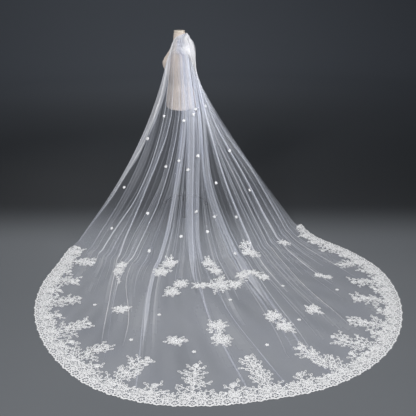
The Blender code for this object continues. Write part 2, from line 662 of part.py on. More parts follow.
# three legs, each one piece with its foot pad
for k, degrees in enumerate(LEG_TURNS, start=1):
    a = math.radians(degrees)
    out = Vector((math.cos(a), math.sin(a), 0.0))
    route = ((HUB_R + GAP + 0.0004, 0.112), (0.070, 0.108), (0.120, 0.090), (0.165, 0.058), (0.198, 0.026), (LEG_REACH, 0.010))
    curve = bpy.data.curves.new(f"leg_path_{k}", "CURVE")
    curve.dimensions = "3D"
    curve.bevel_depth = LEG_R
    curve.bevel_resolution = 2
    curve.use_fill_caps = True
    spline = curve.splines.new("POLY")
    spline.points.add(len(route) - 1)
    for point, (r, z) in zip(spline.points, route):
        point.co = (*(out * r + Vector((0.0, 0.0, z))), 1.0)
    guide_obj = bpy.data.objects.new(f"leg_path_{k}", curve)
    parts.objects.link(guide_obj)
    bpy.context.view_layer.update()
    graph = bpy.context.evaluated_depsgraph_get()
    tube = bpy.data.meshes.new_from_object(guide_obj.evaluated_get(graph))
    bm = bmesh.new()
    bm.from_mesh(tube)
    bmesh.ops.remove_doubles(bm, verts=bm.verts[:], dist=1e-5)
    bm.to_mesh(tube)
    bm.free()
    bpy.data.objects.remove(guide_obj, do_unlink=True)
    leg = add(f"form_leg_{k}", tube, metal)
    bm = bmesh.new()
    bmesh.ops.create_cone(bm, cap_ends=True, segments=24, radius1=PAD_R, radius2=PAD_R * 0.88, depth=PAD_H)
    for v in bm.verts:
        v.co += out * LEG_REACH + Vector((0.0, 0.0, PAD_H / 2))
    pad = bpy.data.objects.new(f"leg_pad_{k}", mesh_of(bm, f"leg_pad_{k}"))
    pad.hide_render = True
    pad.display_type = "WIRE"
    pads = bpy.data.collections.get("cutters") or bpy.data.collections.new("cutters")
    if pads.name not in bpy.context.scene.collection.children:
        bpy.context.scene.collection.children.link(pads)
    pads.objects.link(pad)
    pad.parent = frame
    join = leg.modifiers.new("pad", "BOOLEAN")
    join.operation = "UNION"
    join.object = pad

# comb: the curved spine that takes the gathers, between the neck and the net
comb_mat = material("comb", (0.75, 0.76, 0.78), 0.30, 0.4)
curve = bpy.data.curves.new("comb_path", "CURVE")
curve.dimensions = "3D"
curve.bevel_depth = 0.0011
curve.bevel_resolution = 1
curve.use_fill_caps = True
spline = curve.splines.new("POLY")
spline.points.add(12)
for k, point in enumerate(spline.points):
    a = math.radians(COMB_FROM + 4 + (COMB_TO - COMB_FROM - 8) * k / 12)
    point.co = (NECK_X + (COMB_RX - 0.0040) * math.cos(a), (COMB_RY - 0.0040) * math.sin(a), COMB_Z + 0.0005, 1.0)
guide_obj = bpy.data.objects.new("comb_path", curve)
parts.objects.link(guide_obj)
bpy.context.view_layer.update()
spine = bpy.data.meshes.new_from_object(guide_obj.evaluated_get(bpy.context.evaluated_depsgraph_get()))
bm = bmesh.new()
bm.from_mesh(spine)
bmesh.ops.remove_doubles(bm, verts=bm.verts[:], dist=1e-5)
bm.to_mesh(spine)
bm.free()
bpy.data.objects.remove(guide_obj, do_unlink=True)
add("veil_comb", spine, comb_mat)

# ---------------------------------------------------------------- put the footprint's middle at the origin
bpy.context.view_layer.update()
graph = bpy.context.evaluated_depsgraph_get()
low, high = [1e9, 1e9], [-1e9, -1e9]
for obj in parts.objects:
    if obj.type != "MESH":
        continue
    for v in obj.evaluated_get(graph).data.vertices:
        for k in (0, 1):
            low[k] = min(low[k], v.co[k])
            high[k] = max(high[k], v.co[k])
frame.location = (-(low[0] + high[0]) / 2, -(low[1] + high[1]) / 2, 0.0)
bpy.context.view_layer.update()
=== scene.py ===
"""Looks of the cathedral veil on its dress form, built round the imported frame.

The veil is one net sheet worked out from the same guides as the solids, folded in
its own sizes, with corded lace laid on it. Lengths in metres. Veil places are
(u, row): u runs across from the front selvedge (0) to the back one (1), row runs
down: 0 comb, 1 neck, 2 shoulder, 3 leaves the form, 4 touches the floor, 5 hem.
"""
import math

import bmesh
import bpy
import numpy as np
from mathutils import Matrix, Vector
from mathutils.bvhtree import BVHTree


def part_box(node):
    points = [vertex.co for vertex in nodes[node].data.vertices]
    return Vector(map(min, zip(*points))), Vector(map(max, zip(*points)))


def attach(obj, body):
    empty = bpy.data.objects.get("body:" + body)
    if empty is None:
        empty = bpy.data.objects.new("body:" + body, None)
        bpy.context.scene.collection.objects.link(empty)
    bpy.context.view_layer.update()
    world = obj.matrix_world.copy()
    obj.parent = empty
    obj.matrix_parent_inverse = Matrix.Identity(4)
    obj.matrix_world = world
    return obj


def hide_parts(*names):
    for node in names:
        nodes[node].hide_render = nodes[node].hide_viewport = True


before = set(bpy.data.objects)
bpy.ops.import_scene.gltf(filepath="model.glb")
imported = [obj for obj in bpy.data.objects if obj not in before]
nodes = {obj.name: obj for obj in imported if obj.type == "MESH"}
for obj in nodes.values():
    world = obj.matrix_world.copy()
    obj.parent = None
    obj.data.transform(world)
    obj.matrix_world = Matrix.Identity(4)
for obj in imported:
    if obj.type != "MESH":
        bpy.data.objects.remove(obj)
scene = bpy.context.scene
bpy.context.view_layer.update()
low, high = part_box("form_pole")
POLE = np.array([(low.x + high.x) / 2, (low.y + high.y) / 2, 0.0])   # the veil's sizes count from the pole

# ---------------------------------------------------------------- the veil's own sizes
NECK_X, COMB_RX, COMB_RY = -0.029, 0.0590, 0.0610
COMB_FROM, COMB_TO, COMB_Z = -62.0, 34.0, 1.486
HEM_CX, HEM_CY = 0.248, -1.424
TULLE_INSET = 0.012
LANDING = 0.07
HEM = (
    (148.8, 1.262), (163.0, 1.176), (178.0, 1.160), (193.0, 1.160), (208.0, 1.166),
    (223.0, 1.186), (238.0, 1.214), (253.0, 1.206), (268.0, 1.174), (283.0, 1.156),
    (298.0, 1.178), (313.0, 1.193), (328.0, 1.197), (343.0, 1.192), (358.0, 1.190),
    (373.0, 1.188), (388.0, 1.156), (403.0, 1.134), (411.0, 1.196), (416.4, 1.300),
)
#     u     neck                      shoulder                  leaves the form           touches the floor  sag
GUIDES = (
    (0.00, (-0.056, -0.071, 1.458), (-0.094, -0.120, 1.384), (-0.140, -0.126, 1.188), (-0.822, -0.752), 0.158),
    (0.20, (-0.038, -0.084, 1.462), (-0.070, -0.155, 1.408), (-0.114, -0.178, 1.275), (-0.480, -0.960), 0.165),
    (0.40, (-0.012, -0.090, 1.460), (-0.030, -0.172, 1.411), (-0.050, -0.192, 1.330), (-0.130, -1.080), 0.170),
    (0.60, (0.024, -0.084, 1.459), (0.034, -0.171, 1.410), (0.038, -0.193, 1.330), (0.250, -1.040), 0.150),
    (0.80, (0.050, -0.050, 1.456), (0.082, -0.118, 1.392), (0.112, -0.141, 1.160), (0.640, -0.820), 0.095),
    (1.00, (0.056, 0.034, 1.448), (0.093, 0.044, 1.372), (0.129, 0.034, 1.086), (0.935, -0.372), 0.045),
)
HEM_FROM, HEM_TO = HEM[0][0], HEM[-1][0]


def cubic(keys, vals, at):
    """A smooth curve through a table's columns, for an array of places."""
    keys, vals = np.asarray(keys, float), np.asarray(vals, float)
    at = np.clip(np.asarray(at, float), keys[0], keys[-1])
    slope = np.empty_like(vals)
    slope[0] = (vals[1] - vals[0]) / (keys[1] - keys[0])
    slope[-1] = (vals[-1] - vals[-2]) / (keys[-1] - keys[-2])
    slope[1:-1] = (vals[2:] - vals[:-2]) / (keys[2:] - keys[:-2])
    i = np.clip(np.searchsorted(keys, at, side="right") - 1, 0, len(keys) - 2)
    span = keys[i + 1] - keys[i]
    t = (at - keys[i]) / span
    return ((2 * t ** 3 - 3 * t ** 2 + 1) * vals[i] + (t ** 3 - 2 * t ** 2 + t) * slope[i] * span
            + (-2 * t ** 3 + 3 * t ** 2) * vals[i + 1] + (t ** 3 - t ** 2) * slope[i + 1] * span)


def smooth(a, b, x):
    t = np.clip((np.asarray(x, float) - a) / (b - a), 0.0, 1.0)
    return t * t * (3 - 2 * t)


def unit(v):
    return v / np.maximum(np.linalg.norm(v, axis=-1, keepdims=True), 1e-12)


def guide(column, u):
    keys = [row[0] for row in GUIDES]
    if column == 5:
        return cubic(keys, [row[5] for row in GUIDES], u)
    axes = [cubic(keys, [row[column][k] for row in GUIDES], u) for k in range(len(GUIDES[0][column]))]
    if len(axes) == 2:
        axes.append(np.zeros_like(axes[0]))
    return np.stack(axes, -1)


def hem_point(degrees, inset=0.0):
    r = cubic([h[0] for h in HEM], [h[1] for h in HEM], degrees) - inset
    a = np.radians(degrees)
    return np.stack([HEM_CX + r * np.cos(a), HEM_CY + r * np.sin(a), np.zeros_like(r)], -1)


def comb_point(u):
    a = np.radians(COMB_FROM + (COMB_TO - COMB_FROM) * u)
    return np.stack([NECK_X + COMB_RX * np.cos(a), COMB_RY * np.sin(a), COMB_Z + 0.006 * np.sin(np.pi * u)], -1)


def hermite(p0, d0, p1, d1, t):
    t = t[..., None]
    return (p0 * (2 * t ** 3 - 3 * t ** 2 + 1) + d0 * (t ** 3 - 2 * t ** 2 + t)
            + p1 * (-2 * t ** 3 + 3 * t ** 2) + d1 * (t ** 3 - t ** 2))


def base(u, row):
    """The veil's surface without folds, for arrays of places."""
    u, row = np.broadcast_arrays(np.asarray(u, float), np.asarray(row, float))
    shape = u.shape
    u, row = u.ravel(), row.ravel()
    out = np.zeros((len(u), 3))
    leave, touch, sag = guide(3, u), guide(4, u), guide(5, u)
    m = row >= 4.0
    if m.any():
        hem = hem_point(HEM_FROM + (HEM_TO - HEM_FROM) * (0.012 + 0.976 * u[m]), TULLE_INSET)
        run = hem - touch[m]
        way = touch[m] - leave[m]
        way[:, 2] = 0.0
        way = unit(way) * np.linalg.norm(run, axis=-1, keepdims=True) * 0.9
        out[m] = hermite(touch[m], way, hem, run, row[m] - 4.0)
    m = (row >= 3.0) & (row < 4.0)
    if m.any():
        t = row[m] - 3.0
        at = leave[m] + (touch[m] - leave[m]) * t[:, None]
        off = LANDING * (0.4 + 0.6 * np.sin(np.pi * u[m]))
        top = (leave[m, 2] + off / 2) * (1.0 - t) - sag[m] * np.sin(np.pi * t ** 0.8)
        at[:, 2] = np.where(top > off, top - off / 2, np.maximum(top, 0.0) ** 2 / (2 * off))
        out[m] = at
    m = row < 3.0
    if m.any():
        i = np.minimum(2, row[m].astype(int))
        t = row[m] - i
        stops = np.stack([comb_point(u[m]), guide(1, u[m]), guide(2, u[m]), leave[m]])
        drop = touch[m] - leave[m]
        drop[:, 2] = -leave[m, 2] - 3.2 * sag[m]
        drop = unit(drop) * np.linalg.norm(stops[3] - stops[2], axis=-1, keepdims=True)
        ways = np.stack([(stops[1] - stops[0]) * 0.8, (stops[2] - stops[0]) * 0.5, (stops[3] - stops[1]) * 0.5, drop])
        k = np.arange(len(i))
        at = hermite(stops[i, k], ways[i, k], stops[i + 1, k], ways[i + 1, k], t)
        axis = np.array([NECK_X, 0.0, 0.0])
        near = np.linalg.norm((stops[0] - axis)[:, :2], axis=-1)
        far = np.linalg.norm((stops[1] - axis)[:, :2], axis=-1)
        spoke = (at - axis)[:, :2]
        length = np.maximum(np.linalg.norm(spoke, axis=-1), 1e-9)
        least = near + (far - near) * t
        push = np.where((i == 0) & (length < least), least / length, 1.0)
        at[:, 0] = axis[0] + spoke[:, 0] * push
        at[:, 1] = spoke[:, 1] * push
        out[m] = at
    return out.reshape(shape + (3,))


def outward(u, row):
    """The side of the cloth that faces away from the form, and up on the floor."""
    u, row = np.broadcast_arrays(np.asarray(u, float), np.asarray(row, float))
    step = 0.004
    across = base(np.minimum(1.0, u + step), row) - base(np.maximum(0.0, u - step), row)
    r = np.minimum(row, 3.995)
    down = base(u, np.minimum(3.9999, r + step)) - base(u, np.maximum(0.0, r - step))
    normal = unit(np.cross(down, across))
    flat = np.clip((row - 3.8) / 0.2, 0.0, 1.0)[..., None]
    up = np.zeros_like(normal)
    up[..., 2] = 1.0
    return unit(normal * (1 - flat) + up * flat)


# ---------------------------------------------------------------- folds
# A fold is a Z: the net runs on, back and on again, so three layers lie over its width.
FOLD_ROWS = (3.2, 3.5, 3.8, 4.0, 4.2, 4.5, 4.8)
# main folds: place across at those rows; width hanging and on the floor; height hanging; side it
# leans to; rows between which it stands
#    u at 3.2 3.5    3.8    4.0    4.2    4.5    4.8    hang   floor  height side from  to
MAIN_FOLDS = (
    (0.300, 0.222, 0.150, 0.128, 0.165, 0.205, 0.236, 0.0109, 0.0079, 0.012, 1, 2.5, 4.40),
    (0.385, 0.263, 0.217, 0.214, 0.256, 0.299, 0.333, 0.0136, 0.0108, 0.016, 1, 2.2, 4.90),
    (0.430, 0.345, 0.255, 0.233, 0.266, 0.312, 0.345, 0.0088, 0.0072, 0.012, -1, 2.7, 4.60),
    (0.470, 0.378, 0.302, 0.270, 0.282, 0.300, 0.312, 0.0102, 0.0079, 0.014, 1, 2.4, 4.55),
    (0.492, 0.414, 0.323, 0.288, 0.302, 0.346, 0.350, 0.0082, 0.0079, 0.010, -1, 1.6, 4.85),
    (0.520, 0.452, 0.413, 0.384, 0.382, 0.379, 0.377, 0.0400, 0.0400, 0.022, 1, 2.7, 4.85),
    (0.585, 0.540, 0.518, 0.518, 0.506, 0.496, 0.488, 0.0620, 0.0520, 0.026, -1, 2.5, 4.38),
    (0.655, 0.584, 0.547, 0.552, 0.546, 0.535, 0.530, 0.0300, 0.0260, 0.020, 1, 2.6, 4.22),
    (0.690, 0.640, 0.662, 0.683, 0.655, 0.608, 0.572, 0.0560, 0.0760, 0.026, 1, 3.45, 4.62),
    (0.740, 0.740, 0.748, 0.750, 0.713, 0.662, 0.622, 0.0163, 0.0086, 0.018, -1, 0.5, 4.60),
    (0.782, 0.813, 0.815, 0.818, 0.777, 0.708, 0.664, 0.0122, 0.0101, 0.014, 1, 0.5, 4.95),
    (0.840, 0.884, 0.873, 0.872, 0.828, 0.766, 0.720, 0.0122, 0.0086, 0.014, -1, 0.5, 4.75),
    (0.920, 0.962, 0.948, 0.935, 0.902, 0.845, 0.785, 0.0109, 0.0094, 0.012, 1, 0.5, 4.90),
)
# fine folds between them, the same columns
FINE_FOLDS = (
    (0.160, 0.105, 0.080, 0.075, 0.100, 0.132, 0.158, 0.0058, 0.0053, 0.007, 1, 2.8, 4.30),
    (0.230, 0.160, 0.110, 0.100, 0.130, 0.166, 0.194, 0.0065, 0.0060, 0.007, -1, 2.6, 4.45),
    (0.340, 0.243, 0.186, 0.170, 0.208, 0.250, 0.282, 0.0065, 0.0060, 0.008, 1, 2.9, 4.62),
    (0.360, 0.250, 0.200, 0.190, 0.230, 0.272, 0.306, 0.0050, 0.0053, 0.006, -1, 2.6, 4.50),
    (0.455, 0.362, 0.276, 0.252, 0.274, 0.318, 0.350, 0.0058, 0.0060, 0.007, 1, 2.8, 4.70),
    (0.500, 0.430, 0.356, 0.328, 0.334, 0.356, 0.362, 0.0072, 0.0067, 0.008, 1, 2.3, 4.50),
    (0.510, 0.440, 0.380, 0.352, 0.352, 0.366, 0.370, 0.0058, 0.0053, 0.006, -1, 2.6, 4.35),
    (0.550, 0.486, 0.452, 0.430, 0.420, 0.412, 0.408, 0.0072, 0.0060, 0.009, 1, 0.8, 4.28),
    (0.562, 0.505, 0.478, 0.462, 0.450, 0.440, 0.436, 0.0065, 0.0060, 0.008, -1, 0.8, 4.40),
    (0.625, 0.566, 0.534, 0.535, 0.522, 0.484, 0.480, 0.0065, 0.0075, 0.007, 1, 0.8, 4.80),
    (0.668, 0.602, 0.580, 0.584, 0.560, 0.527, 0.520, 0.0072, 0.0067, 0.008, 1, 0.8, 4.85),
    (0.675, 0.618, 0.606, 0.615, 0.598, 0.560, 0.545, 0.0065, 0.0060, 0.007, -1, 0.8, 4.60),
    (0.681, 0.628, 0.640, 0.655, 0.634, 0.592, 0.553, 0.0065, 0.0075, 0.007, 1, 3.6, 4.98),
    (0.702, 0.664, 0.686, 0.706, 0.676, 0.624, 0.586, 0.0065, 0.0075, 0.007, -1, 3.6, 4.98),
    (0.720, 0.716, 0.724, 0.727, 0.694, 0.646, 0.606, 0.0065, 0.0067, 0.007, 1, 0.8, 4.88),
    (0.752, 0.762, 0.770, 0.772, 0.735, 0.680, 0.640, 0.0079, 0.0075, 0.009, 1, 0.8, 4.92),
    (0.764, 0.782, 0.790, 0.795, 0.756, 0.694, 0.652, 0.0065, 0.0060, 0.007, -1, 0.8, 4.70),
    (0.800, 0.838, 0.838, 0.838, 0.797, 0.730, 0.684, 0.0072, 0.0067, 0.008, -1, 0.8, 4.60),
    (0.818, 0.860, 0.856, 0.855, 0.813, 0.748, 0.702, 0.0065, 0.0067, 0.007, 1, 0.8, 4.86),
    (0.862, 0.905, 0.893, 0.890, 0.848, 0.788, 0.740, 0.0072, 0.0060, 0.007, 1, 0.8, 4.55),
    (0.882, 0.925, 0.912, 0.906, 0.868, 0.808, 0.756, 0.0065, 0.0060, 0.007, -1, 0.8, 4.70),
    (0.900, 0.944, 0.930, 0.921, 0.886, 0.828, 0.772, 0.0065, 0.0067, 0.007, 1, 0.8, 4.62),
    (0.945, 0.974, 0.965, 0.954, 0.926, 0.876, 0.820, 0.0065, 0.0060, 0.007, -1, 0.8, 4.66),
    (0.966, 0.986, 0.980, 0.974, 0.955, 0.912, 0.860, 0.0058, 0.0053, 0.006, 1, 0.8, 4.55),
)
# the front selvedge is turned back on itself: row, and how far in its free edge lies
TURN_ROWS = (0.0, 1.0, 2.0, 2.6, 3.0, 3.1, 3.2, 3.35, 3.5, 3.65, 3.8, 3.9, 4.0, 4.1)
TURN_IN = (0.10, 0.13, 0.19, 0.26, 0.30, 0.27, 0.195, 0.100, 0.046, 0.028, 0.014, 0.009, 0.007, 0.006)
TURN_TO = 4.05
# gathers that live between the comb and the first third of the hang: how many in front and behind
GATHERS = ((0.03, 0.50, 5, 2.30, 2.90), (0.50, 0.56, 3, 3.0, 3.5), (0.56, 0.78, 19, 3.20, 3.75), (0.78, 0.98, 9, 3.00, 3.25))

rng = np.random.default_rng(11)

U_SAMPLES = np.linspace(0.0, 1.0, 161)


def arc(row):
    """Length of the veil across, without its folds, at each row."""
    pts = base(U_SAMPLES[None, :], np.asarray(row, float)[:, None])
    return np.linalg.norm(np.diff(pts, axis=1), axis=-1).sum(1)


def make_rows():
    spans = ((0.0, 1.0, 5), (1.0, 2.0, 6), (2.0, 3.0, 9), (3.0, 3.8, 23), (3.8, 4.12, 15), (4.12, 5.0, 29))
    rows = []
    for a, b, n in spans:
        rows += list(np.linspace(a, b, n, endpoint=False))
    return np.array(rows + [5.0])


def make_folds():
    folds = []
    for table, fine in ((MAIN_FOLDS, False), (FINE_FOLDS, True)):
        for f in table:
            folds.append(dict(us=f[:7], hang=f[7], floor=f[8], height=f[9], side=f[10], start=f[11], end=f[12],
                              steps=9 if fine else (14 if f[7] < 0.03 else 30), gather=False, net=1 if fine else (2 if f[7] < 0.03 else 6)))
            if f[7] < 0.03:
                folds[-1]["hang"] *= 0.82 if fine else 0.62
                folds[-1]["floor"] *= 0.9 if fine else 0.75
    listed = sorted(folds, key=lambda f: f["us"][3])
    for left, right in zip(listed[:-1], listed[1:]):
        gap = right["us"][3] - left["us"][3]
        for k in () if gap < 0.016 else ((0.5,) if gap < 0.028 else (0.34, 0.68)):
            k += rng.uniform(-0.1, 0.1)
            folds.append(dict(us=[a + (b - a) * k for a, b in zip(left["us"], right["us"])], hang=rng.uniform(0.0035, 0.0050),
                              floor=0.0040, height=0.005, side=1 if rng.random() < 0.5 else -1, start=rng.uniform(1.8, 2.9),
                              end=rng.uniform(3.9, 4.5) if k < 0.5 else rng.uniform(3.6, 4.2), steps=6, gather=False, net=1))
    # the gathers drift sideways with the listed folds round them
    listed = sorted(folds, key=lambda f: f["us"][0])
    tops = np.maximum.accumulate([0.0] + [f["us"][0] for f in listed] + [1.0])
    drift = [np.maximum.accumulate([0.0] + [f["us"][i] for f in listed] + [1.0]) for i in range(7)]
    for u0, u1, count, end0, end1 in GATHERS:
        for k in range(count):
            u = u0 + (u1 - u0) * (k + rng.uniform(0.2, 0.8)) / count
            folds.append(dict(us=[float(np.interp(u, tops, d)) for d in drift], hang=rng.uniform(0.009, 0.018),
                              floor=0.004, height=rng.uniform(0.006, 0.012), side=1 if k % 2 else -1, start=0.0,
                              end=rng.uniform(end0, end1), steps=7, gather=True, net=3 if u > 0.52 else 0))
    folds.sort(key=lambda f: f["us"][0])
    return folds


FOLDS = make_folds()
ROWS = make_rows()


def fold_shape(x, side):
    """The Z across a fold, x from -1 to 1: sideways (in half widths) and up (in heights)."""
    x = x * side
    lateral = -0.80 * np.sin(1.5 * np.pi * x) + 0.35 * x
    up = cubic((-1.0, -0.6, -0.33, 0.0, 0.33, 0.55, 0.8, 1.0), (0.0, 0.08, 0.28, 0.55, 0.86, 0.90, 0.42, 0.0), x)
    return lateral * side, up


def in_order(c, gaps):
    """Places kept in their order, at least the gaps apart, moved as little either way."""
    ahead, behind = c.copy(), c.copy()
    for k in range(1, len(c)):
        ahead[k] = max(ahead[k], ahead[k - 1] + gaps[k])
    for k in range(len(c) - 2, -1, -1):
        behind[k] = min(behind[k], behind[k + 1] - gaps[k + 1])
    return np.clip((ahead + behind) / 2, 0.0, 1.0)


def across(row, length):
    """The net's line across at one row: places u, heights, and the fold standing at each point."""
    us, hs, kind, full = [], [], [], []
    # the turned-back front selvedge: edge, inner turn, outer turn, then the sheet itself
    wide = float(cubic(TURN_ROWS, TURN_IN, row))
    hold = float(1.0 - smooth(TURN_TO - 0.12, TURN_TO + 0.05, row))
    n = 26
    t = np.linspace(0.0, 1.0, n)
    rise = 0.004 if row < 2.5 else 0.008
    flap = wide * (1.0 - t + 0.13 * np.sin(7.0 * math.pi * t ** 0.9) * (1.0 - t) ** 0.3)
    lift = rise * (1.0 - t ** 4) * (1.0 + 0.25 * np.sin(9.0 * t + 2.0 * row))
    # on the floor the selvedge lies open
    us += list(flap * hold + 0.004 * t * (1.0 - hold))
    hs += list(lift * hold)
    kind += [5, 5, 5] + [4] * (n - 6) + [5, 5, 5] if hold > 0.3 else [0] * n
    full += [hold] * n
    down = float(smooth(3.85, 4.12, row))
    middles = np.array([float(cubic(FOLD_ROWS, f["us"], row)) for f in FOLDS])
    stands, widths, tops = [], [], []
    for f, c in zip(FOLDS, middles):
        width = f["hang"] + (f["floor"] - f["hang"]) * down
        slack = 0.40 + 0.60 * float(smooth(0.50, 0.62, c))       # the front half is drawn flatter over the form
        width *= slack + (1.0 - slack) * float(smooth(2.7, 3.35, row))
        stand = float(smooth(f["start"] - 0.5, f["start"] + 0.1, row) * (1.0 - smooth(f["end"] - 0.45, f["end"], row)))
        if f["gather"]:
            stand = float(1.0 - smooth(f["end"] - 0.7, f["end"], row))
            width *= 1.0 - 0.5 * float(smooth(2.4, 3.4, row))
        top = f["height"] * (0.30 + 0.70 * float(smooth(2.2, 3.4, row)))
        top += (min(f["height"] * 0.35, 0.007) - top) * down
        stands.append(stand)
        widths.append(min(width, 0.22 * length) / length)
        tops.append(top)
    gaps = [0.0] + [0.42 * (widths[k] * (0.3 + 0.7 * stands[k]) + widths[k - 1] * (0.3 + 0.7 * stands[k - 1])) * (0.55 + 0.45 * down) for k in range(1, len(FOLDS))]
    room = sum(gaps)
    if room > 0.92:
        gaps = [g * 0.92 / room for g in gaps]
    middles = in_order(middles, gaps)
    last_u = us[-1]
    for f, c, stand, width, top in zip(FOLDS, middles, stands, widths, tops):
        x = np.linspace(-1.0, 1.0, f["steps"])
        z_side, z_up = fold_shape(x, f["side"])
        line = c + 0.5 * width * ((1.0 - stand) * 0.9 * x + stand * z_side)
        # a point of plain net before each fold
        us.append((last_u + line[0]) / 2)
        hs.append(0.0)
        kind.append(0)
        full.append(0.0)
        us += list(line)
        hs += list(top * stand * z_up)
        inside = [f["net"] if stand > 0.04 else 0] * len(x)
        full += [stand] * len(x)
        if f["net"] == 6 and stand > 0.04:
            inside[8:11] = inside[19:22] = [5] * 3        # the turns of a wide fold show as its two bright edges
        kind += inside
        last_u = us[-1]
    us += [last_u + (1.0 - last_u) / 3, last_u + 2 * (1.0 - last_u) / 3, 1.0]
    hs += [0.0, 0.0, 0.0]
    kind += [0, 0, 0]
    return np.array(us), np.array(hs), np.array(kind), np.array(full + [0.0, 0.0, 0.0])


def billow(u, row):
    """Soft, uneven standing waves of the net between its folds."""
    swell = (0.55 * np.sin(2 * np.pi * (7.3 * u + 0.35 * row)) + 0.45 * np.sin(2 * np.pi * (12.1 * u - 0.22 * row + 0.3))
             + 0.35 * np.sin(2 * np.pi * (19.7 * u + 0.11 * row + 0.7)))
    size = 0.0060 * smooth(2.6, 3.4, row) * (1.0 - smooth(3.75, 4.02, row)) + 0.0012 * smooth(3.9, 4.1, row) * (1.0 - smooth(4.7, 4.95, row))
    return size * (1.0 + swell / 1.35)


def build_tulle():
    lengths = arc(ROWS)
    U, H, K, S = (np.array(part) for part in zip(*[across(float(row), float(length)) for row, length in zip(ROWS, lengths)]))
    R = np.broadcast_to(ROWS[:, None], U.shape)
    U = np.clip(U, 0.0, 1.0)
    lift = 0.0007 + H + billow(U, R)
    points = base(U, R) + outward(U, R) * lift[..., None]
    points[..., 2] = np.maximum(points[..., 2], 0.0006)
    return U, R, K, S, points + POLE


def grid_object(name, points, flip=False):
    """A mesh from a grid of points."""
    rows, cols = points.shape[:2]
    index = np.arange(rows * cols).reshape(rows, cols)
    quads = np.stack([index[:-1, :-1], index[1:, :-1], index[1:, 1:], index[:-1, 1:]], -1).reshape(-1, 4)
    if flip:
        quads = quads[:, ::-1]
    mesh = bpy.data.meshes.new(name)
    mesh.from_pydata(points.reshape(-1, 3).tolist(), [], quads.tolist())
    mesh.update()
    mesh.shade_smooth()
    obj = bpy.data.objects.new(name, mesh)
    bpy.context.scene.collection.objects.link(obj)
    return obj


# ---------------------------------------------------------------- materials
def textured(name, rgb, rgb_2, rough, grain=40.0, weave=None, bump=0.3, depth=0.0003, stretch=(1.0, 1.0, 1.0), **sockets):
    """A Principled material whose colour and roughness vary with a grain and whose bump follows a weave.
    weave is (kind, size): cells of a net or knit, bands of twisted thread, or speckle; sizes are in metres."""
    mat = bpy.data.materials.new(name)
    mat.use_nodes = True
    tree = mat.node_tree
    shader = tree.nodes["Principled BSDF"]
    for key, value in sockets.items():
        shader.inputs[key.replace("_", " ")].default_value = value
    coords = tree.nodes.new("ShaderNodeTexCoord")
    mapping = tree.nodes.new("ShaderNodeMapping")
    mapping.inputs["Scale"].default_value = stretch
    tree.links.new(coords.outputs["Object"], mapping.inputs["Vector"])
    noise = tree.nodes.new("ShaderNodeTexNoise")
    noise.inputs["Scale"].default_value = grain
    noise.inputs["Detail"].default_value = 4.0
    tree.links.new(mapping.outputs["Vector"], noise.inputs["Vector"])
    ramp = tree.nodes.new("ShaderNodeValToRGB")
    ramp.color_ramp.elements[0].position, ramp.color_ramp.elements[1].position = 0.36, 0.66
    ramp.color_ramp.elements[0].color = (*rgb, 1.0)
    ramp.color_ramp.elements[1].color = (*rgb_2, 1.0)
    tree.links.new(noise.outputs["Fac"], ramp.inputs["Fac"])
    tree.links.new(ramp.outputs["Color"], shader.inputs["Base Color"])
    spread = tree.nodes.new("ShaderNodeMapRange")
    spread.inputs["To Min"].default_value = rough - 0.08
    spread.inputs["To Max"].default_value = min(1.0, rough + 0.08)
    tree.links.new(noise.outputs["Fac"], spread.inputs["Value"])
    tree.links.new(spread.outputs["Result"], shader.inputs["Roughness"])
    if weave:
        kind, size = weave
        if kind == "cells":
            pattern = tree.nodes.new("ShaderNodeTexVoronoi")
            pattern.feature = "DISTANCE_TO_EDGE"
            pattern.inputs["Scale"].default_value = 1.0 / size
            out = pattern.outputs["Distance"]
        elif kind == "thread":
            pattern = tree.nodes.new("ShaderNodeTexWave")
            pattern.bands_direction = "DIAGONAL"
            pattern.inputs["Scale"].default_value = 0.31 / size
            pattern.inputs["Distortion"].default_value = 3.0
            pattern.inputs["Detail"].default_value = 2.0
            out = pattern.outputs["Fac"]
        else:
            pattern = tree.nodes.new("ShaderNodeTexNoise")
            pattern.inputs["Scale"].default_value = 1.0 / size
            pattern.inputs["Detail"].default_value = 3.0
            out = pattern.outputs["Fac"]
        tree.links.new(mapping.outputs["Vector"], pattern.inputs["Vector"])
        relief = tree.nodes.new("ShaderNodeBump")
        relief.inputs["Strength"].default_value = bump
        relief.inputs["Distance"].default_value = depth
        tree.links.new(out, relief.inputs["Height"])
        tree.links.new(relief.outputs["Normal"], shader.inputs["Normal"])
    return mat


NET_STEPS = (0.055, 0.062, 0.070, 0.078, 0.086, 0.095, 0.105, 0.118, 0.132, 0.148, 0.166, 0.186, 0.205, 0.222, 0.24, 0.258, 0.276, 0.30, 0.33, 0.37, 0.42, 0.48, 0.55, 0.63, 0.72, 0.80, 0.88, 0.94)
BUNDLE = (0.600, 0.548, 0.528, 0.528, 0.520, 0.510, 0.500)      # where the dense bundle hangs, at the fold rows
NETS = [textured(f"tulle_net_{k + 1:02d}", tuple(a + (b - a) * min(1.0, alpha / 0.6) for a, b in zip((0.77, 0.82, 0.965), (0.93, 0.93, 0.975))),
                 tuple(a + (b - a) * min(1.0, alpha / 0.6) for a, b in zip((0.82, 0.865, 0.985), (0.97, 0.97, 0.99))),
                 0.60, 5.0, ("cells", 0.0022), 0.25, 0.0002, Alpha=alpha)
        for k, alpha in enumerate(NET_STEPS)]


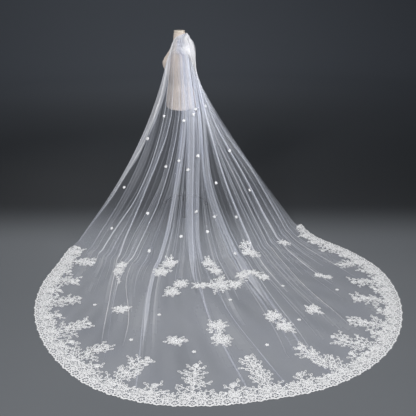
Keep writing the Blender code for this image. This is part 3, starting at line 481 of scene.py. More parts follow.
def gather_lines(u, row):
    """Thin lines of bunched net between the folds: each follows its own strip of the cloth, and has its own width, start and end."""
    own = np.random.default_rng(77)
    add = np.zeros(u.shape)
    level = np.abs(row[:, 0] - 3.6).argmin()
    strips = np.arange(u.shape[1])
    wide = np.abs(np.gradient(u[level]))
    for _ in range(110):
        at, half, strength = own.uniform(0.02, 0.98), own.uniform(0.0012, 0.0027), own.uniform(0.04, 0.15)
        start, stop = own.uniform(2.5, 3.2), 3.80 + 1.15 * own.uniform() ** 1.15
        middle = np.abs(u[level] - at).argmin()
        if wide[middle] > 0.0034:
            continue
        reach = max(half / wide[middle], 0.55)
        along = (1.0 + 0.3 * smooth(4.0, 4.4, row)) * smooth(start, start + 0.5, row) * (1.0 - smooth(stop - 0.5, stop, row))
        add += strength * np.exp(-((strips - middle) / reach) ** 2)[None] * along
    return add


def cover(u, row, kind, full):
    """How much of the ground the net hides: more where it is seen at a slant, folded, or gathered, and less over the
    shoulder top as painted shade.
    """
    film = 0.052 + 0.185 * smooth(3.60, 4.12, row) + 0.25 * (1.0 - smooth(2.2, 3.10, row))
    # the thin net shows soft clouds where it lies in slack waves
    film *= 1.0 + 0.12 * np.sin(2 * np.pi * (3.1 * u + 0.7 * row)) * np.sin(2 * np.pi * (5.3 * u - 0.45 * row + 0.2)) * smooth(3.0, 3.6, row)
    slack = np.sin(2 * np.pi * (11.0 * u + 0.55 * np.sin(2.3 * row + 7.0 * u))) * np.sin(2 * np.pi * (17.3 * u - 0.35 * row)) * np.sin(2 * np.pi * (0.85 * row + 2.7 * u))
    film = film + 0.055 * slack * smooth(3.7, 4.2, row) * (1.0 - smooth(4.80, 4.97, row))
    film = film + gather_lines(u, row) * np.where(kind == 4, 0.3, 1.0)
    dense = smooth(0.44, 0.66, u) * (1.0 - 0.8 * smooth(0.88, 1.02, u)) * (1.0 - smooth(2.45, 3.40, row))
    bundle = 1.0 - smooth(0.030, 0.046, np.abs(u - cubic(FOLD_ROWS, BUNDLE, row)))
    bundle *= smooth(2.7, 3.1, row) * (1.0 - smooth(3.55, 3.85, row))
    neck = 1.0 - smooth(0.8, 1.6, row)
    add = np.choose(kind, (0.0, 0.055, 0.17, 0.01, 0.31 * (1.0 - smooth(3.35, 3.85, row)) + 0.03, 0.08, 0.05))
    add = add * np.where(kind == 4, 1.0, (0.06 + 0.94 * smooth(2.85, 3.4, row)) * (1.0 + 1.0 * smooth(3.8, 4.15, row))) * smooth(0.03, 0.6, full)
    fine = 1.0 + THREADS * (0.22 * dense + 0.60 * bundle + 0.35 * (kind >= 5) + 0.60 * (kind == 4) * smooth(1.8, 3.0, row))
    # the inside of the wide folds is thrice the net where they lie flat
    film = film - 0.085 * (kind == 6) * smooth(3.6, 4.05, row)
    # painted shade: the net is drawn thinner from the neck to the shoulder, where the lamps fall strongest, so that it
    # reads less bright there
    shoulder_painted_shade = 1.0 - 0.17 * (1.0 - smooth(1.7, 2.3, row)) * smooth(0.6, 1.2, row) * (1.0 - 0.5 * smooth(0.62, 0.80, u))
    return (film + add + 0.62 * dense + 0.03 * bundle + 0.10 * neck) * np.clip(fine, 0.4, 1.5) * shoulder_painted_shade


U, R, K, S, P = build_tulle()
# gathered net shows fine lines that run with its folds: a shade for each column of the mesh
THREADS = np.convolve(rng.normal(0.0, 1.0, U.shape[1] + 1), (0.25, 0.5, 0.25), "same")[None, 1:-1] * 0.62
tulle = grid_object("veil_tulle", P)
for mat in NETS:
    tulle.data.materials.append(mat)
face_kind = np.minimum(np.minimum(K[:-1, :-1], K[1:, 1:]), np.minimum(K[:-1, 1:], K[1:, :-1]))
hidden = cover((U[:-1, :-1] + U[1:, 1:]) / 2, (R[:-1, :-1] + R[1:, 1:]) / 2, face_kind, np.minimum(S[:-1, :-1], S[1:, 1:]))
level = np.abs(hidden[..., None] - np.array(NET_STEPS)).argmin(-1).ravel()
tulle.data.polygons.foreach_set("material_index", level.astype(np.int32))
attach(tulle, "root")
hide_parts("tulle_gather", "tulle_turnback", *[f"tulle_drape_{k}" for k in range(1, 7)],
            "tulle_train_left", "tulle_train_front", "tulle_train_right")


# ---------------------------------------------------------------- lace
LACE_BAND = 0.105
# leafy sprays of the edging: direction (degrees), reach from the edge, half width, lean (degrees)
SPRAYS = (
    (152.2, 0.120, 0.070, 0.0), (160.5, 0.270, 0.090, -3.0), (175.5, 0.236, 0.085, -1.0), (190.5, 0.285, 0.090, -1.0),
    (209.0, 0.301, 0.100, 1.0), (225.5, 0.290, 0.100, 2.0), (241.0, 0.350, 0.100, 3.5), (263.5, 0.335, 0.095, -1.0),
    (284.5, 0.369, 0.095, -2.5), (307.0, 0.361, 0.105, -3.0), (322.5, 0.316, 0.100, -3.5), (336.0, 0.303, 0.095, -3.0),
    (352.0, 0.293, 0.090, -1.5), (365.0, 0.268, 0.085, -1.0), (379.5, 0.234, 0.085, 0.0), (394.2, 0.170, 0.080, 0.0),
    (409.5, 0.110, 0.070, 0.0),
)
# low leafy peaks between them: direction, reach, half width
LOW_PEAKS = (
    (167.5, 0.145, 0.050), (182.5, 0.150, 0.050), (200.0, 0.160, 0.055), (217.5, 0.160, 0.055), (233.0, 0.155, 0.050),
    (252.5, 0.160, 0.060), (274.5, 0.165, 0.060), (294.8, 0.170, 0.060), (314.8, 0.160, 0.045), (329.3, 0.155, 0.045),
    (344.0, 0.155, 0.050), (358.6, 0.150, 0.045), (372.4, 0.145, 0.045), (386.8, 0.135, 0.045), (402.0, 0.125, 0.045),
)
LACE_ENDS = (149.3, 186.5, 233.0, 274.5, 314.8, 358.6, 415.6)
# appliques: name, middle, length, width, turn (degrees)
APPLIQUES = (
    ("01", (-0.415, -1.150), 0.190, 0.085, 78.0), ("01", (-0.408, -1.305), 0.140, 0.026, 100.0),
    ("02", (-0.095, -1.150), 0.270, 0.130, 68.0),
    ("03", (-0.010, -1.435), 0.235, 0.120, 75.0),
    ("04", (-0.341, -1.705), 0.120, 0.095, 5.0),
    ("05", (0.020, -2.046), 0.120, 0.100, -10.0),
    ("06", (0.222, -1.130), 0.245, 0.105, -67.0),
    ("07", (0.158, -1.400), 0.125, 0.090, 10.0), ("07", (0.275, -1.390), 0.215, 0.160, 82.0), ("07", (0.408, -1.320), 0.265, 0.110, 72.0),
    ("08", (0.513, -0.908), 0.190, 0.110, -40.0),
    ("09", (0.550, -1.250), 0.180, 0.095, -38.0),
    ("10", (0.783, -0.722), 0.115, 0.075, -55.0),
    ("11", (0.995, -1.270), 0.125, 0.060, -25.0),
    ("12", (0.854, -1.705), 0.125, 0.100, -70.0),
    ("13", (0.622, -1.840), 0.265, 0.125, -66.0),
    ("14", (0.265, -1.960), 0.280, 0.140, -75.0),
)
# little flowers: (u, row); the first eighteen stand for the solids, the rest are only sewn on here
FLOWERS = (
    (0.294, 3.202), (0.783, 3.131), (0.509, 3.238), (0.138, 3.291), (0.366, 3.433), (0.522, 3.461), (0.872, 3.382),
    (0.072, 3.557), (0.685, 3.538), (0.873, 3.637), (0.550, 3.687), (0.735, 3.748), (0.293, 3.690), (0.122, 3.821),
    (0.593, 3.803), (0.474, 3.817), (0.336, 3.909), (0.680, 3.975),
    (0.598, 3.215), (0.627, 3.187), (0.464, 3.413), (0.598, 3.399), (0.636, 3.725), (0.268, 4.547), (0.404, 4.472),
    (0.360, 4.675), (0.445, 4.717), (0.556, 4.381), (0.680, 4.402), (0.736, 4.647), (0.620, 4.638), (0.543, 4.721),
)
CORD = 0.0018           # how far the cords stand up from the lace


def loops(rings, middle=None):
    """Rings of equal count joined in turn; the last is closed to a middle point, or left as a hole.
    Gives points, faces and for each face whether it is thin filling (1) or cord (0)."""
    n = len(rings[0])
    pts = np.concatenate(rings)
    faces = []
    for j in range(len(rings) - 1):
        for k in range(n):
            a, b = j * n + k, j * n + (k + 1) % n
            faces += [(a, b, b + n), (a, b + n, a + n)]
    if middle is not None:
        j = len(rings) - 1
        faces += [(j * n + k, j * n + (k + 1) % n, len(pts)) for k in range(n)]
        pts = np.vstack([pts, middle])
    faces = np.array(faces)
    return pts, faces, (pts[faces][:, :, 2].mean(1) < 0.2).astype(np.int32)


def leaf(n=8, hole=False):
    """A rounded leaflet from (0, 0) to (0, 1), one unit wide, its rim a raised cord."""
    a = 2 * np.pi * np.arange(n) / n
    y = 0.5 - 0.5 * np.cos(a)
    edge = np.stack([0.5 * np.sin(a) * (0.78 + 0.40 * y), y, np.zeros(n)], 1)
    mid = np.array([0.0, 0.54, 0.0])
    rings = [edge]
    for k, z in ((0.84, 1.0), (0.56 if hole else 0.60, 0.0 if hole else 0.15)):
        ring = mid + (edge - mid) * k
        ring[:, 2] = z
        rings.append(ring)
    return loops(rings, None if hole else mid + np.array([0.0, 0.0, 0.1]))


def annulus(n, wave, *radii):
    """A raised ring: radii from outside in, the middle one on top."""
    a = 2 * np.pi * np.arange(n) / n
    rings = []
    for r, z in zip(radii, (0.0, 1.0, 0.0)):
        r = r * (1 + wave * np.cos(n / 2 * a)) if z == 0.0 and r == radii[0] else r + 0 * a
        rings.append(np.stack([r * np.cos(a), r * np.sin(a), z + 0 * a], 1))
    return loops(rings)


def placed(motif, angle, at, width, length):
    """A motif turned so that its +y points along the angle, and moved."""
    pts, faces, kinds = motif
    x, y = pts[:, 0] * width, pts[:, 1] * length
    c, s = math.cos(angle), math.sin(angle)
    return np.stack([at[0] + x * s + y * c, at[1] - x * c + y * s, pts[:, 2]], 1), faces, kinds


def joined(motifs):
    pts, faces, kinds, count = [], [], [], 0
    for p, f, kind in motifs:
        pts.append(p)
        faces.append(f + count)
        kinds.append(kind)
        count += len(p)
    return np.concatenate(pts), np.concatenate(faces), np.concatenate(kinds)


def knob(r, height, n=7):
    a = 2 * np.pi * np.arange(n) / n
    ring = np.stack([r * np.cos(a), r * np.sin(a), 0.2 + 0 * a], 1)
    low = ring * (1.0, 1.0, 0.0)
    top = ring * (0.72, 0.72, 0.0) + (0.0, 0.0, height)
    return loops([low, top], np.array([0.0, 0.0, height * 1.1]))


SOLID, OPEN = leaf(), leaf(hole=True)


def blossom(petals, width, centre=0.20):
    parts = [placed(SOLID, 2 * math.pi * k / petals + 0.3, (0.13 * math.cos(2 * math.pi * k / petals + 0.3),
             0.13 * math.sin(2 * math.pi * k / petals + 0.3)), width, 0.87) for k in range(petals)]
    return joined(parts + [knob(centre, 1.5)])


def wheel(spokes=6):
    parts = [annulus(20, 0.045, 1.0, 0.89, 0.74), annulus(10, 0.0, 0.36, 0.25, 0.12)]
    for k in range(spokes):
        a = 2 * math.pi * k / spokes
        parts.append(placed(SOLID, a, (0.32 * math.cos(a), 0.32 * math.sin(a)), 0.17, 0.48))
    return joined(parts)


BLOSSOM, STAR, WHEEL = blossom(6, 0.62), blossom(5, 0.74, 0.22), wheel()
EYELET = annulus(12, 0.0, 1.0, 0.78, 0.50)


class Lace:
    """A patch of lace gathered motif by motif in its own plane: x across, y along."""

    def __init__(self, seed):
        self.rng = np.random.default_rng(seed)
        self.motifs = []

    def add(self, pts, faces, kinds, lift):
        pts = pts.copy()
        pts[:, 2] = pts[:, 2] * CORD + lift
        self.motifs.append((pts, faces, kinds))

    def put(self, motif, at, angle=0.0, width=0.013, length=0.026, lift=None):
        self.add(*placed(motif, angle, at, width, length), self.rng.uniform(0.0004, 0.0016) if lift is None else lift)

    def cord(self, path, width, lift=0.0009):
        path = np.asarray(path, float)
        way = unit(np.gradient(path, axis=0))
        side = np.stack([-way[:, 1], way[:, 0]], 1) * (width / 2)
        n = len(path)
        pts = np.concatenate([np.c_[path + side, np.zeros(n)], np.c_[path, np.ones(n)], np.c_[path - side, np.zeros(n)]])
        k = np.arange(n - 1)
        faces = np.concatenate([np.stack(f, 1) for f in (
            (2 * n + k, 2 * n + k + 1, n + k + 1), (2 * n + k, n + k + 1, n + k),
            (n + k, n + k + 1, k + 1), (n + k, k + 1, k))])
        self.add(pts, faces, np.zeros(len(faces), np.int32), lift)

    def frond(self, start, angle, length, bend, leaf_length=0.028, leaf_width=0.0172, gap=0.0178, bare=0.0):
        """A curved stem with leaflets by turns on both sides and one at its tip."""
        n = max(4, int(length / 0.009))
        t = np.linspace(0.0, 1.0, n)
        a = angle + bend * t
        steps = np.stack([np.cos(a), np.sin(a)], 1) * (length / (n - 1))
        path = np.asarray(start) + np.concatenate([np.zeros((1, 2)), np.cumsum(steps[:-1], axis=0)])
        self.cord(path, 0.0042)
        rng, side, along = self.rng, 1 if self.rng.random() < 0.5 else -1, length * bare + 0.004
        while along < length - 0.004:
            k = along / length
            i = min(n - 1, int(k * (n - 1)))
            small = 1.0 - 0.32 * k
            at = path[i] + (path[min(i + 1, n - 1)] - path[i]) * (k * (n - 1) - i)
            size = leaf_length * small * rng.uniform(0.8, 1.15)
            self.put(OPEN if rng.random() < 0.60 else SOLID, at, a[i] + side * math.radians(rng.uniform(42, 66)),
                     leaf_width * small * rng.uniform(0.85, 1.15), size)
            side = -side
            along += gap * rng.uniform(0.75, 1.15)
        self.put(SOLID, path[-1] - steps[-1] * 0.4, a[-1] + rng.uniform(-0.2, 0.2), leaf_width * 0.8, leaf_length * 0.95)

    def tree(self, foot, tip, half, crown=True):
        """A spray: a stem up the middle, side fronds on an uneven outline, blossoms where they start."""
        foot, tip = np.asarray(foot, float), np.asarray(tip, float)
        axis = tip - foot
        height = float(np.linalg.norm(axis))
        axis /= height
        across = np.array([axis[1], -axis[0]])
        main = math.atan2(axis[1], axis[0])
        rng = self.rng
        sway = rng.uniform(-1, 1) * 0.010
        t = np.linspace(0.0, 1.0, 14)
        path = foot + np.outer(t * (height - 0.022), axis) + np.outer(sway * np.sin(t * 2 * math.pi), across)
        self.cord(path, 0.0055, 0.0012)
        pitch = 0.037
        stops = np.arange(0.012, height - 0.030, pitch)
        for j, y in enumerate(stops):
            k = y / height
            wide = half * float(cubic((0.0, 0.18, 0.38, 0.62, 0.82, 1.0), (1.50, 1.12, 0.70, 0.90, 0.68, 0.30), k))
            for side in (-1, 1):
                wide_here = wide * rng.uniform(0.80, 1.12)
                open_angle = math.radians(rng.uniform(40, 60) + (18 if k < 0.15 else 0))
                at = foot + axis * (y + side * pitch * 0.22) + across * sway * math.sin(k * 2 * math.pi)
                self.frond(at, main - side * open_angle, max(0.012, wide_here / math.sin(open_angle) - 0.017), side * rng.uniform(-0.5, 0.9))
        for k in ((0.06, 0.42, 0.70) if height > 0.14 else (0.10,)):
            at = foot + axis * (k * height) + across * rng.uniform(-0.008, 0.008)
            r = rng.uniform(0.017, 0.022)
            self.put(BLOSSOM, at, rng.uniform(0, 6), r, r, 0.0022)
        if crown:
            for turn in (-0.85, -0.4, 0.0, 0.45, 0.9):
                self.put(SOLID, path[-1], main + turn + rng.uniform(-0.1, 0.1), 0.013, 0.028 - 0.006 * abs(turn))

    def cluster(self, length, width):
        """An applique: leafy fronds round blossoms strung along it, ragged outside."""
        rng = self.rng
        if width < 0.04:        # a bare trailing stem
            self.frond((-length / 2, 0.0), 0.0, length, 0.3, 0.020, 0.011, 0.013)
            return
        leaf_length = min(0.026, 0.30 * width)
        lumps = max(1, int(round(length / width * 0.85)))
        for j in range(lumps):
            k = (j - (lumps - 1) / 2) / lumps if lumps > 1 else 0.0
            cx, cy = k * length, (rng.uniform(-0.10, 0.10) * width if lumps > 1 else 0.0)
            taper = 1.0 - 0.9 * k * k
            rx, ry = 0.5 * length / lumps * 1.30, 0.5 * width * taper
            count = 11
            for i in range(count):
                a = 2 * math.pi * (i + rng.uniform(-0.28, 0.28)) / count
                reach = 1.0 / math.hypot(math.cos(a) / rx, math.sin(a) / ry) * rng.uniform(0.78, 1.10)
                start = (cx + 0.008 * math.cos(a), cy + 0.008 * math.sin(a))
                self.frond(start, a, max(0.010, reach - 0.008 - leaf_length * 0.7), rng.uniform(-0.8, 0.8), leaf_length, leaf_length * 0.60, 0.0145)
            r = min(0.021, 0.22 * width)
            self.put(BLOSSOM, (cx, cy), rng.uniform(0, 6), r, r, 0.0024)
        # leaves that close the mass up between the lumps
        for i in range(int(length * width * 480)):
            a, k = rng.uniform(0, 2 * math.pi), math.sqrt(rng.uniform(0.02, 0.62))
            at = (0.5 * length * k * math.cos(a), 0.5 * width * k * math.sin(a))
            self.put(SOLID if rng.random() < 0.6 else OPEN, at, math.atan2(at[1] * 1.6, at[0]) + rng.uniform(-0.8, 0.8),
                     leaf_length * 0.58, leaf_length * rng.uniform(0.8, 1.1))

    def arrays(self):
        return joined(self.motifs)


# places along the hem: arc length to direction
TURN = np.linspace(LACE_ENDS[0], LACE_ENDS[-1], 1601)
EDGE = hem_point(TURN)
RUN = np.concatenate([[0.0], np.cumsum(np.linalg.norm(np.diff(EDGE, axis=0), axis=-1))])


def on_band(pts):
    """Band coordinates (run along the edge, depth inwards) to the floor."""
    m = np.interp(pts[:, 0], RUN, TURN)
    over = pts[:, 0] - np.clip(pts[:, 0], 0.0, RUN[-1])
    out = hem_point(m, pts[:, 1])
    way = hem_point(np.minimum(m + 0.3, TURN[-1] + 1)) - hem_point(m - 0.3)
    out += unit(way) * over[:, None]
    out[:, 2] = pts[:, 2]
    return out


def band_lace(start, stop, seed, first=False, last=False):
    """The edging's band between two runs: wheels on the outer scallops, leaves and eyelets inside them."""
    lace = Lace(seed)
    rng = lace.rng
    # a rounded leafy corner where the edging ends
    for here, turn in ((first, math.pi), (last, 0.0)):
        if here:
            x = stop if turn == 0.0 else start
            for depth in (0.030, 0.062):
                for a in (-1.3, -0.8, -0.3, 0.2, 0.7, 1.2):
                    lace.put(SOLID, (x, depth), turn + a, 0.014, 0.027 * rng.uniform(0.85, 1.1))
            lace.put(BLOSSOM, (x, 0.046), rng.uniform(0, 6), 0.019, 0.019, 0.0022)
    count = max(1, int(round((stop - start) / 0.086)))
    pitch = (stop - start) / count
    for j in range(count):
        x = start + (j + 0.5) * pitch
        up, down = math.pi / 2, -math.pi / 2
        r = rng.uniform(0.0255, 0.028)
        lace.put(WHEEL, (x, r - 0.007), rng.uniform(0, 6), r, r, 0.0010)
        for i, turn in enumerate((-1.25, -0.75, -0.25, 0.25, 0.75, 1.25)):
            a = up + turn
            lace.put(OPEN if i % 2 else SOLID, (x + (r - 0.001) * math.cos(a), r - 0.007 + (r - 0.001) * math.sin(a)), a,
                     0.0145, 0.027 * rng.uniform(0.85, 1.1))
        # between two wheels: two small scallops with an eyelet each, a blossom over them
        for dx, depth, size in ((0.405, 0.009, 0.0115), (0.595, 0.010, 0.0115), (0.50, 0.030, 0.0105)):
            lace.put(EYELET, (x + dx * pitch, depth), 0.0, size, size)
        lace.put(BLOSSOM, (x + 0.5 * pitch, 0.053), rng.uniform(0, 6), 0.0175, 0.0175, 0.0021)
        for turn in (-1.05, -0.35, 0.35, 1.05):
            lace.put(SOLID, (x + 0.5 * pitch + 0.014 * math.sin(-turn), 0.055 + 0.014 * math.cos(turn)), up + turn, 0.013, 0.027)
        for dx, depth, a in ((0.36, 0.026, up + 0.9), (0.64, 0.026, up - 0.9), (0.30, 0.050, up + 0.3), (0.70, 0.050, up - 0.3)):
            lace.put(OPEN, (x + dx * pitch, depth), a + rng.uniform(-0.3, 0.3), 0.013, 0.024)
        # ragged inner edge
        for i in range(3):
            lace.put(OPEN, (x + ((i + 0.5) / 3 - 0.5) * pitch + rng.uniform(-0.004, 0.004), rng.uniform(0.072, 0.086)),
                     up + rng.uniform(-0.9, 0.9), 0.015, rng.uniform(0.022, 0.030))
    n = max(8, int((stop - start) / 0.0075))
    s = np.linspace(start, stop, n)
    lace.cord(np.stack([s, 0.0035 + 0.0055 * np.cos(2 * np.pi * (s - start) / pitch * 3)], 1), 0.0052, 0.0012)
    lace.cord(np.stack([s, 0.0475 + 0.0065 * np.cos(2 * np.pi * (s - start) / pitch)], 1), 0.0048, 0.0014)
    lace.cord(np.stack([s, 0.0790 + 0.0070 * np.cos(2 * np.pi * (s - start) / pitch + 2.0)], 1), 0.0048, 0.0014)
    return lace


def local_frame(origin, way):
    """Plane coordinates with +y along the way, to the floor."""
    way = unit(np.asarray(way, float)[:2])
    side = np.array([way[1], -way[0]])

    def place(pts):
        out = np.zeros_like(pts)
        out[:, :2] = np.asarray(origin)[:2] + np.outer(pts[:, 0], side) + np.outer(pts[:, 1], way)
        out[:, 2] = pts[:, 2]
        return out
    return place


tulle_tree = BVHTree.FromPolygons(P.reshape(-1, 3).tolist(), [tuple(p.vertices) for p in tulle.data.polygons])


def settle(pts):
    """Pole-frame points with heights over the cloth, set on the cloth below them."""
    out = pts + POLE
    down = Vector((0.0, 0.0, -1.0))
    for k, (x, y, z) in enumerate(out.tolist()):
        hit = tulle_tree.ray_cast(Vector((x, y, 1.6)), down)[0]
        out[k, 2] = z + (hit.z if hit is not None else 0.0008)
    return out


def lace_object(name, pts, faces, kinds, materials):
    mesh = bpy.data.meshes.new(name)
    mesh.from_pydata(pts.tolist(), [], faces.tolist())
    mesh.update()
    mesh.shade_smooth()
    for mat in materials:
        mesh.materials.append(mat)
    if len(materials) > 1:
        mesh.polygons.foreach_set("material_index", kinds.astype(np.int32))
    obj = bpy.data.objects.new(name, mesh)
    scene.collection.objects.link(obj)
    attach(obj, "root")
    return obj


lace_mats = (textured("lace_cord", (0.91, 0.91, 0.92), (0.96, 0.96, 0.97), 0.60, 70.0, ("thread", 0.0011), 0.6, 0.0004, Sheen_Weight=0.10),
             textured("lace_filling", (0.70, 0.71, 0.73), (0.80, 0.81, 0.83), 0.68, 90.0, ("thread", 0.0008), 0.5, 0.0003, Alpha=0.34))
flower_mat = textured("lace_flowers", (0.89, 0.89, 0.90), (0.94, 0.94, 0.95), 0.55, 80.0, ("thread", 0.0011), 0.5, 0.0004, Sheen_Weight=0.15)

for k in range(6):
    turn0, turn1 = LACE_ENDS[k], LACE_ENDS[k + 1]
    s0, s1 = np.interp((turn0, turn1), TURN, RUN)
    parts = []
    pts, *rest = band_lace(s0 + (0.012 if k == 0 else 0.0), s1 - (0.012 if k == 5 else 0.0), 40 + k, k == 0, k == 5).arrays()
    parts.append((on_band(pts), *rest))
    for j, (turn, reach, half, *lean) in enumerate(SPRAYS + LOW_PEAKS):
        if not turn0 <= turn < turn1:
            continue
        lean = lean[0] if lean else 0.0
        lace = Lace(100 + j)
        foot, tip = hem_point(np.array([turn]))[0], hem_point(np.array([turn + lean]), reach)[0]
        length = float(np.linalg.norm(tip - foot))
        low_peak = j >= len(SPRAYS)
        lace.tree((0.0, 0.062), (0.0, length - (0.008 if low_peak else 0.0)), half * (1.15 if low_peak else 0.84))
        pts, *rest = lace.arrays()
        parts.append((local_frame(foot, tip - foot)(pts), *rest))
    pts, *rest = joined(parts)
    obj = lace_object(f"veil_lace_{k + 1}", settle(pts), *rest, lace_mats)
    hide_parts(f"lace_hem_{k + 1}")

for name in sorted({row[0] for row in APPLIQUES}):
    parts = []
    for j, (_, (x, y), length, width, turn) in enumerate(row for row in APPLIQUES if row[0] == name):
        lace = Lace(300 + 10 * int(name) + j)
        lace.cluster(length, width)
        pts, *rest = lace.arrays()
        a = math.radians(turn) + math.pi / 2
        parts.append((local_frame((x, y), (math.cos(a), math.sin(a)))(pts), *rest))
    pts, *rest = joined(parts)
    obj = lace_object(f"veil_applique_{name}", settle(pts), *rest, lace_mats)
    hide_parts(f"applique_{name}")

# little flowers, flat on the cloth wherever it hangs
parts = []
for j, (u, row) in enumerate(FLOWERS):
    at = base(np.array([u]), np.array([row]))[0] + POLE
    n = Vector(outward(np.array([u]), np.array([row]))[0])
    t = Vector(base(np.array([u + 0.01]), np.array([row]))[0] - base(np.array([u - 0.01]), np.array([row]))[0])
    t = (t - n * t.dot(n)).normalized()
    b = n.cross(t)
    pts, faces, kinds = placed(STAR, 0.7 * j, (0.0, 0.0), 0.0128, 0.0128)
    out = []
    for x, y, z in pts.tolist():
        start = Vector(at) + t * x + b * y + n * 0.08
        hit = tulle_tree.ray_cast(start, -n, 0.16)[0]
        foot = hit if hit is not None else start - n * 0.075
        out.append(tuple(foot + n * (0.0009 + z * CORD)))
    parts.append((np.array(out), faces, kinds))
flowers = lace_object("veil_flowers", *joined(parts), (flower_mat,))
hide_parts(*[f"flower_{k:02d}" for k in range(1, 19)])


# ---------------------------------------------------------------- dress form
#        z      x_front  x_back  half_w  bust
FORM = (
    (0.903, -0.126, 0.086, 0.150, 0.000), (0.910, -0.137, 0.097, 0.161, 0.000), (0.930, -0.141, 0.103, 0.168, 0.000),
    (0.975, -0.140, 0.104, 0.171, 0.000), (1.030, -0.134, 0.090, 0.160, 0.000), (1.100, -0.122, 0.064, 0.134, 0.000),
    (1.150, -0.121, 0.060, 0.131, 0.007), (1.205, -0.122, 0.066, 0.139, 0.026), (1.245, -0.122, 0.074, 0.147, 0.042),
    (1.280, -0.120, 0.081, 0.153, 0.047), (1.315, -0.115, 0.086, 0.160, 0.030), (1.350, -0.108, 0.087, 0.167, 0.012),
    (1.385, -0.093, 0.083, 0.169, 0.003), (1.412, -0.082, 0.072, 0.160, 0.000), (1.432, -0.076, 0.060, 0.133, 0.000),
    (1.446, -0.074, 0.049, 0.098, 0.000), (1.457, -0.073, 0.038, 0.069, 0.000), (1.472, -0.073, 0.025, 0.053, 0.000),
    (1.495, -0.071, 0.018, 0.048, 0.000),
)
BUST_Y, BUST_W, ARMHOLE_Y, CAP_TOP = 0.072, 0.052, 0.150, 1.513
# princess seams: height, how far from the middle in front and behind
SEAMS = ((0.903, 0.062, 0.058), (1.030, 0.060, 0.052), (1.120, 0.056, 0.046), (1.280, 0.070, 0.064), (1.360, 0.078, 0.076),
         (1.425, 0.080, 0.080), (1.446, 0.070, 0.066), (1.470, 0.038, 0.036), (1.495, 0.034, 0.034))
SEAM_STEPS = (0.0, 0.0012, 0.0026, 0.0050, 0.0085)      # distances from a seam that get their own column
SEAM_SHAPE = (-0.0016, -0.0003, 0.0006, 0.0004, 0.0)    # how far the cover stands there
TAPE = (0.907, 0.925)                                   # binding round the lower edge
NECK_SEAM = 1.4605


def form_point(z, a, proud=0.0):
    """The form's surface at heights z and turns a, moved out by proud."""
    front, back, half, bust = (cubic([f[0] for f in FORM], [f[k] for f in FORM], z) for k in (1, 2, 3, 4))

    def at(turn):
        ca, sa = np.cos(turn), np.sin(turn)
        x = (front + back) / 2 + (back - front) / 2 * np.sign(ca) * np.abs(ca) ** (2 / 2.25)
        y = half * np.sign(sa) * np.abs(sa) ** (2 / 2.25)
        swell = (np.exp(-((y - BUST_Y) / BUST_W) ** 2) + np.exp(-((y + BUST_Y) / BUST_W) ** 2)) * np.clip(-ca * 1.6, 0.0, 1.0)
        return x - bust * swell, np.clip(y, -ARMHOLE_Y, ARMHOLE_Y)
    x, y = at(a)
    x1, y1 = at(a + 0.02)
    x0, y0 = at(a - 0.02)
    out = unit(np.stack([y1 - y0, x0 - x1], -1))
    return np.stack([x + out[..., 0] * proud, y + out[..., 1] * proud, z + 0 * x], -1)


def form_cover():
    """The jersey cover: columns that run beside its seams, rows that gather at the tape and the neck seam."""
    z = np.unique(np.concatenate([np.linspace(0.9035, 1.4945, 88), np.linspace(0.9035, 0.930, 12),
                                  NECK_SEAM + np.array([-0.004, -0.0022, -0.001, 0.0, 0.001, 0.0022, 0.004])]))
    half = cubic([f[0] for f in FORM], [f[3] for f in FORM], z)
    front = np.minimum(cubic([r[0] for r in SEAMS], [r[1] for r in SEAMS], z), 0.86 * half)
    behind = np.minimum(cubic([r[0] for r in SEAMS], [r[2] for r in SEAMS], z), 0.86 * half)
    f, b = np.arcsin((front / half) ** 1.125), np.arcsin((behind / half) ** 1.125)
    seams = [0 * z, b, 0 * z + np.pi / 2, np.pi - f, 0 * z + np.pi, np.pi + f, 0 * z + 1.5 * np.pi, 2 * np.pi - b, 0 * z + 2 * np.pi]
    reach = np.maximum(half * 0.95, 0.045)
    turns, sink = [], []
    for a, b in zip(seams[:-1], seams[1:]):
        for k, (d, shape) in enumerate(zip(SEAM_STEPS, SEAM_SHAPE)):
            turns.append(a + d / reach)
            sink.append(shape)
        inner0, inner1 = a + SEAM_STEPS[-1] / reach, b - SEAM_STEPS[-1] / reach
        for k in range(1, 10):
            turns.append(inner0 + (inner1 - inner0) * k / 10)
            sink.append(0.0)
        for d, shape in reversed(list(zip(SEAM_STEPS, SEAM_SHAPE))[1:]):
            turns.append(b - d / reach)
            sink.append(shape)
    turns, sink = np.stack(turns, 1), np.array(sink)[None, :]
    rows = z[:, None] + 0 * turns
    fade = smooth(TAPE[1], TAPE[1] + 0.003, rows) * (1.0 - smooth(1.474, 1.480, rows))
    tape = 0.0011 * (smooth(TAPE[0] - 0.001, TAPE[0] + 0.0005, rows) - smooth(TAPE[1] - 0.0005, TAPE[1] + 0.001, rows))
    neck = -0.0014 * np.exp(-((rows - NECK_SEAM) / 0.0012) ** 2) + 0.0005 * np.exp(-((rows - NECK_SEAM) / 0.004) ** 2)
    # puckers of the stretched jersey beside the seams, very slight
    pucker = 0.0003 * np.sin(rows * 330.0 + turns * 9.0) * (np.abs(sink) > 0.0001)
    return form_point(rows, turns, sink * fade + tape + neck + pucker * fade) + POLE


def mesh_object(name, pts, faces, materials, kinds=None, body="root"):
    mesh = bpy.data.meshes.new(name)
    mesh.from_pydata(np.asarray(pts).tolist(), [], [tuple(int(i) for i in f) for f in faces])
    mesh.update()
    mesh.shade_smooth()
    for mat in materials:
        mesh.materials.append(mat)
    if kinds is not None:
        mesh.polygons.foreach_set("material_index", np.asarray(kinds, np.int32))
    obj = bpy.data.objects.new(name, mesh)
    scene.collection.objects.link(obj)
    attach(obj, body)
    return obj


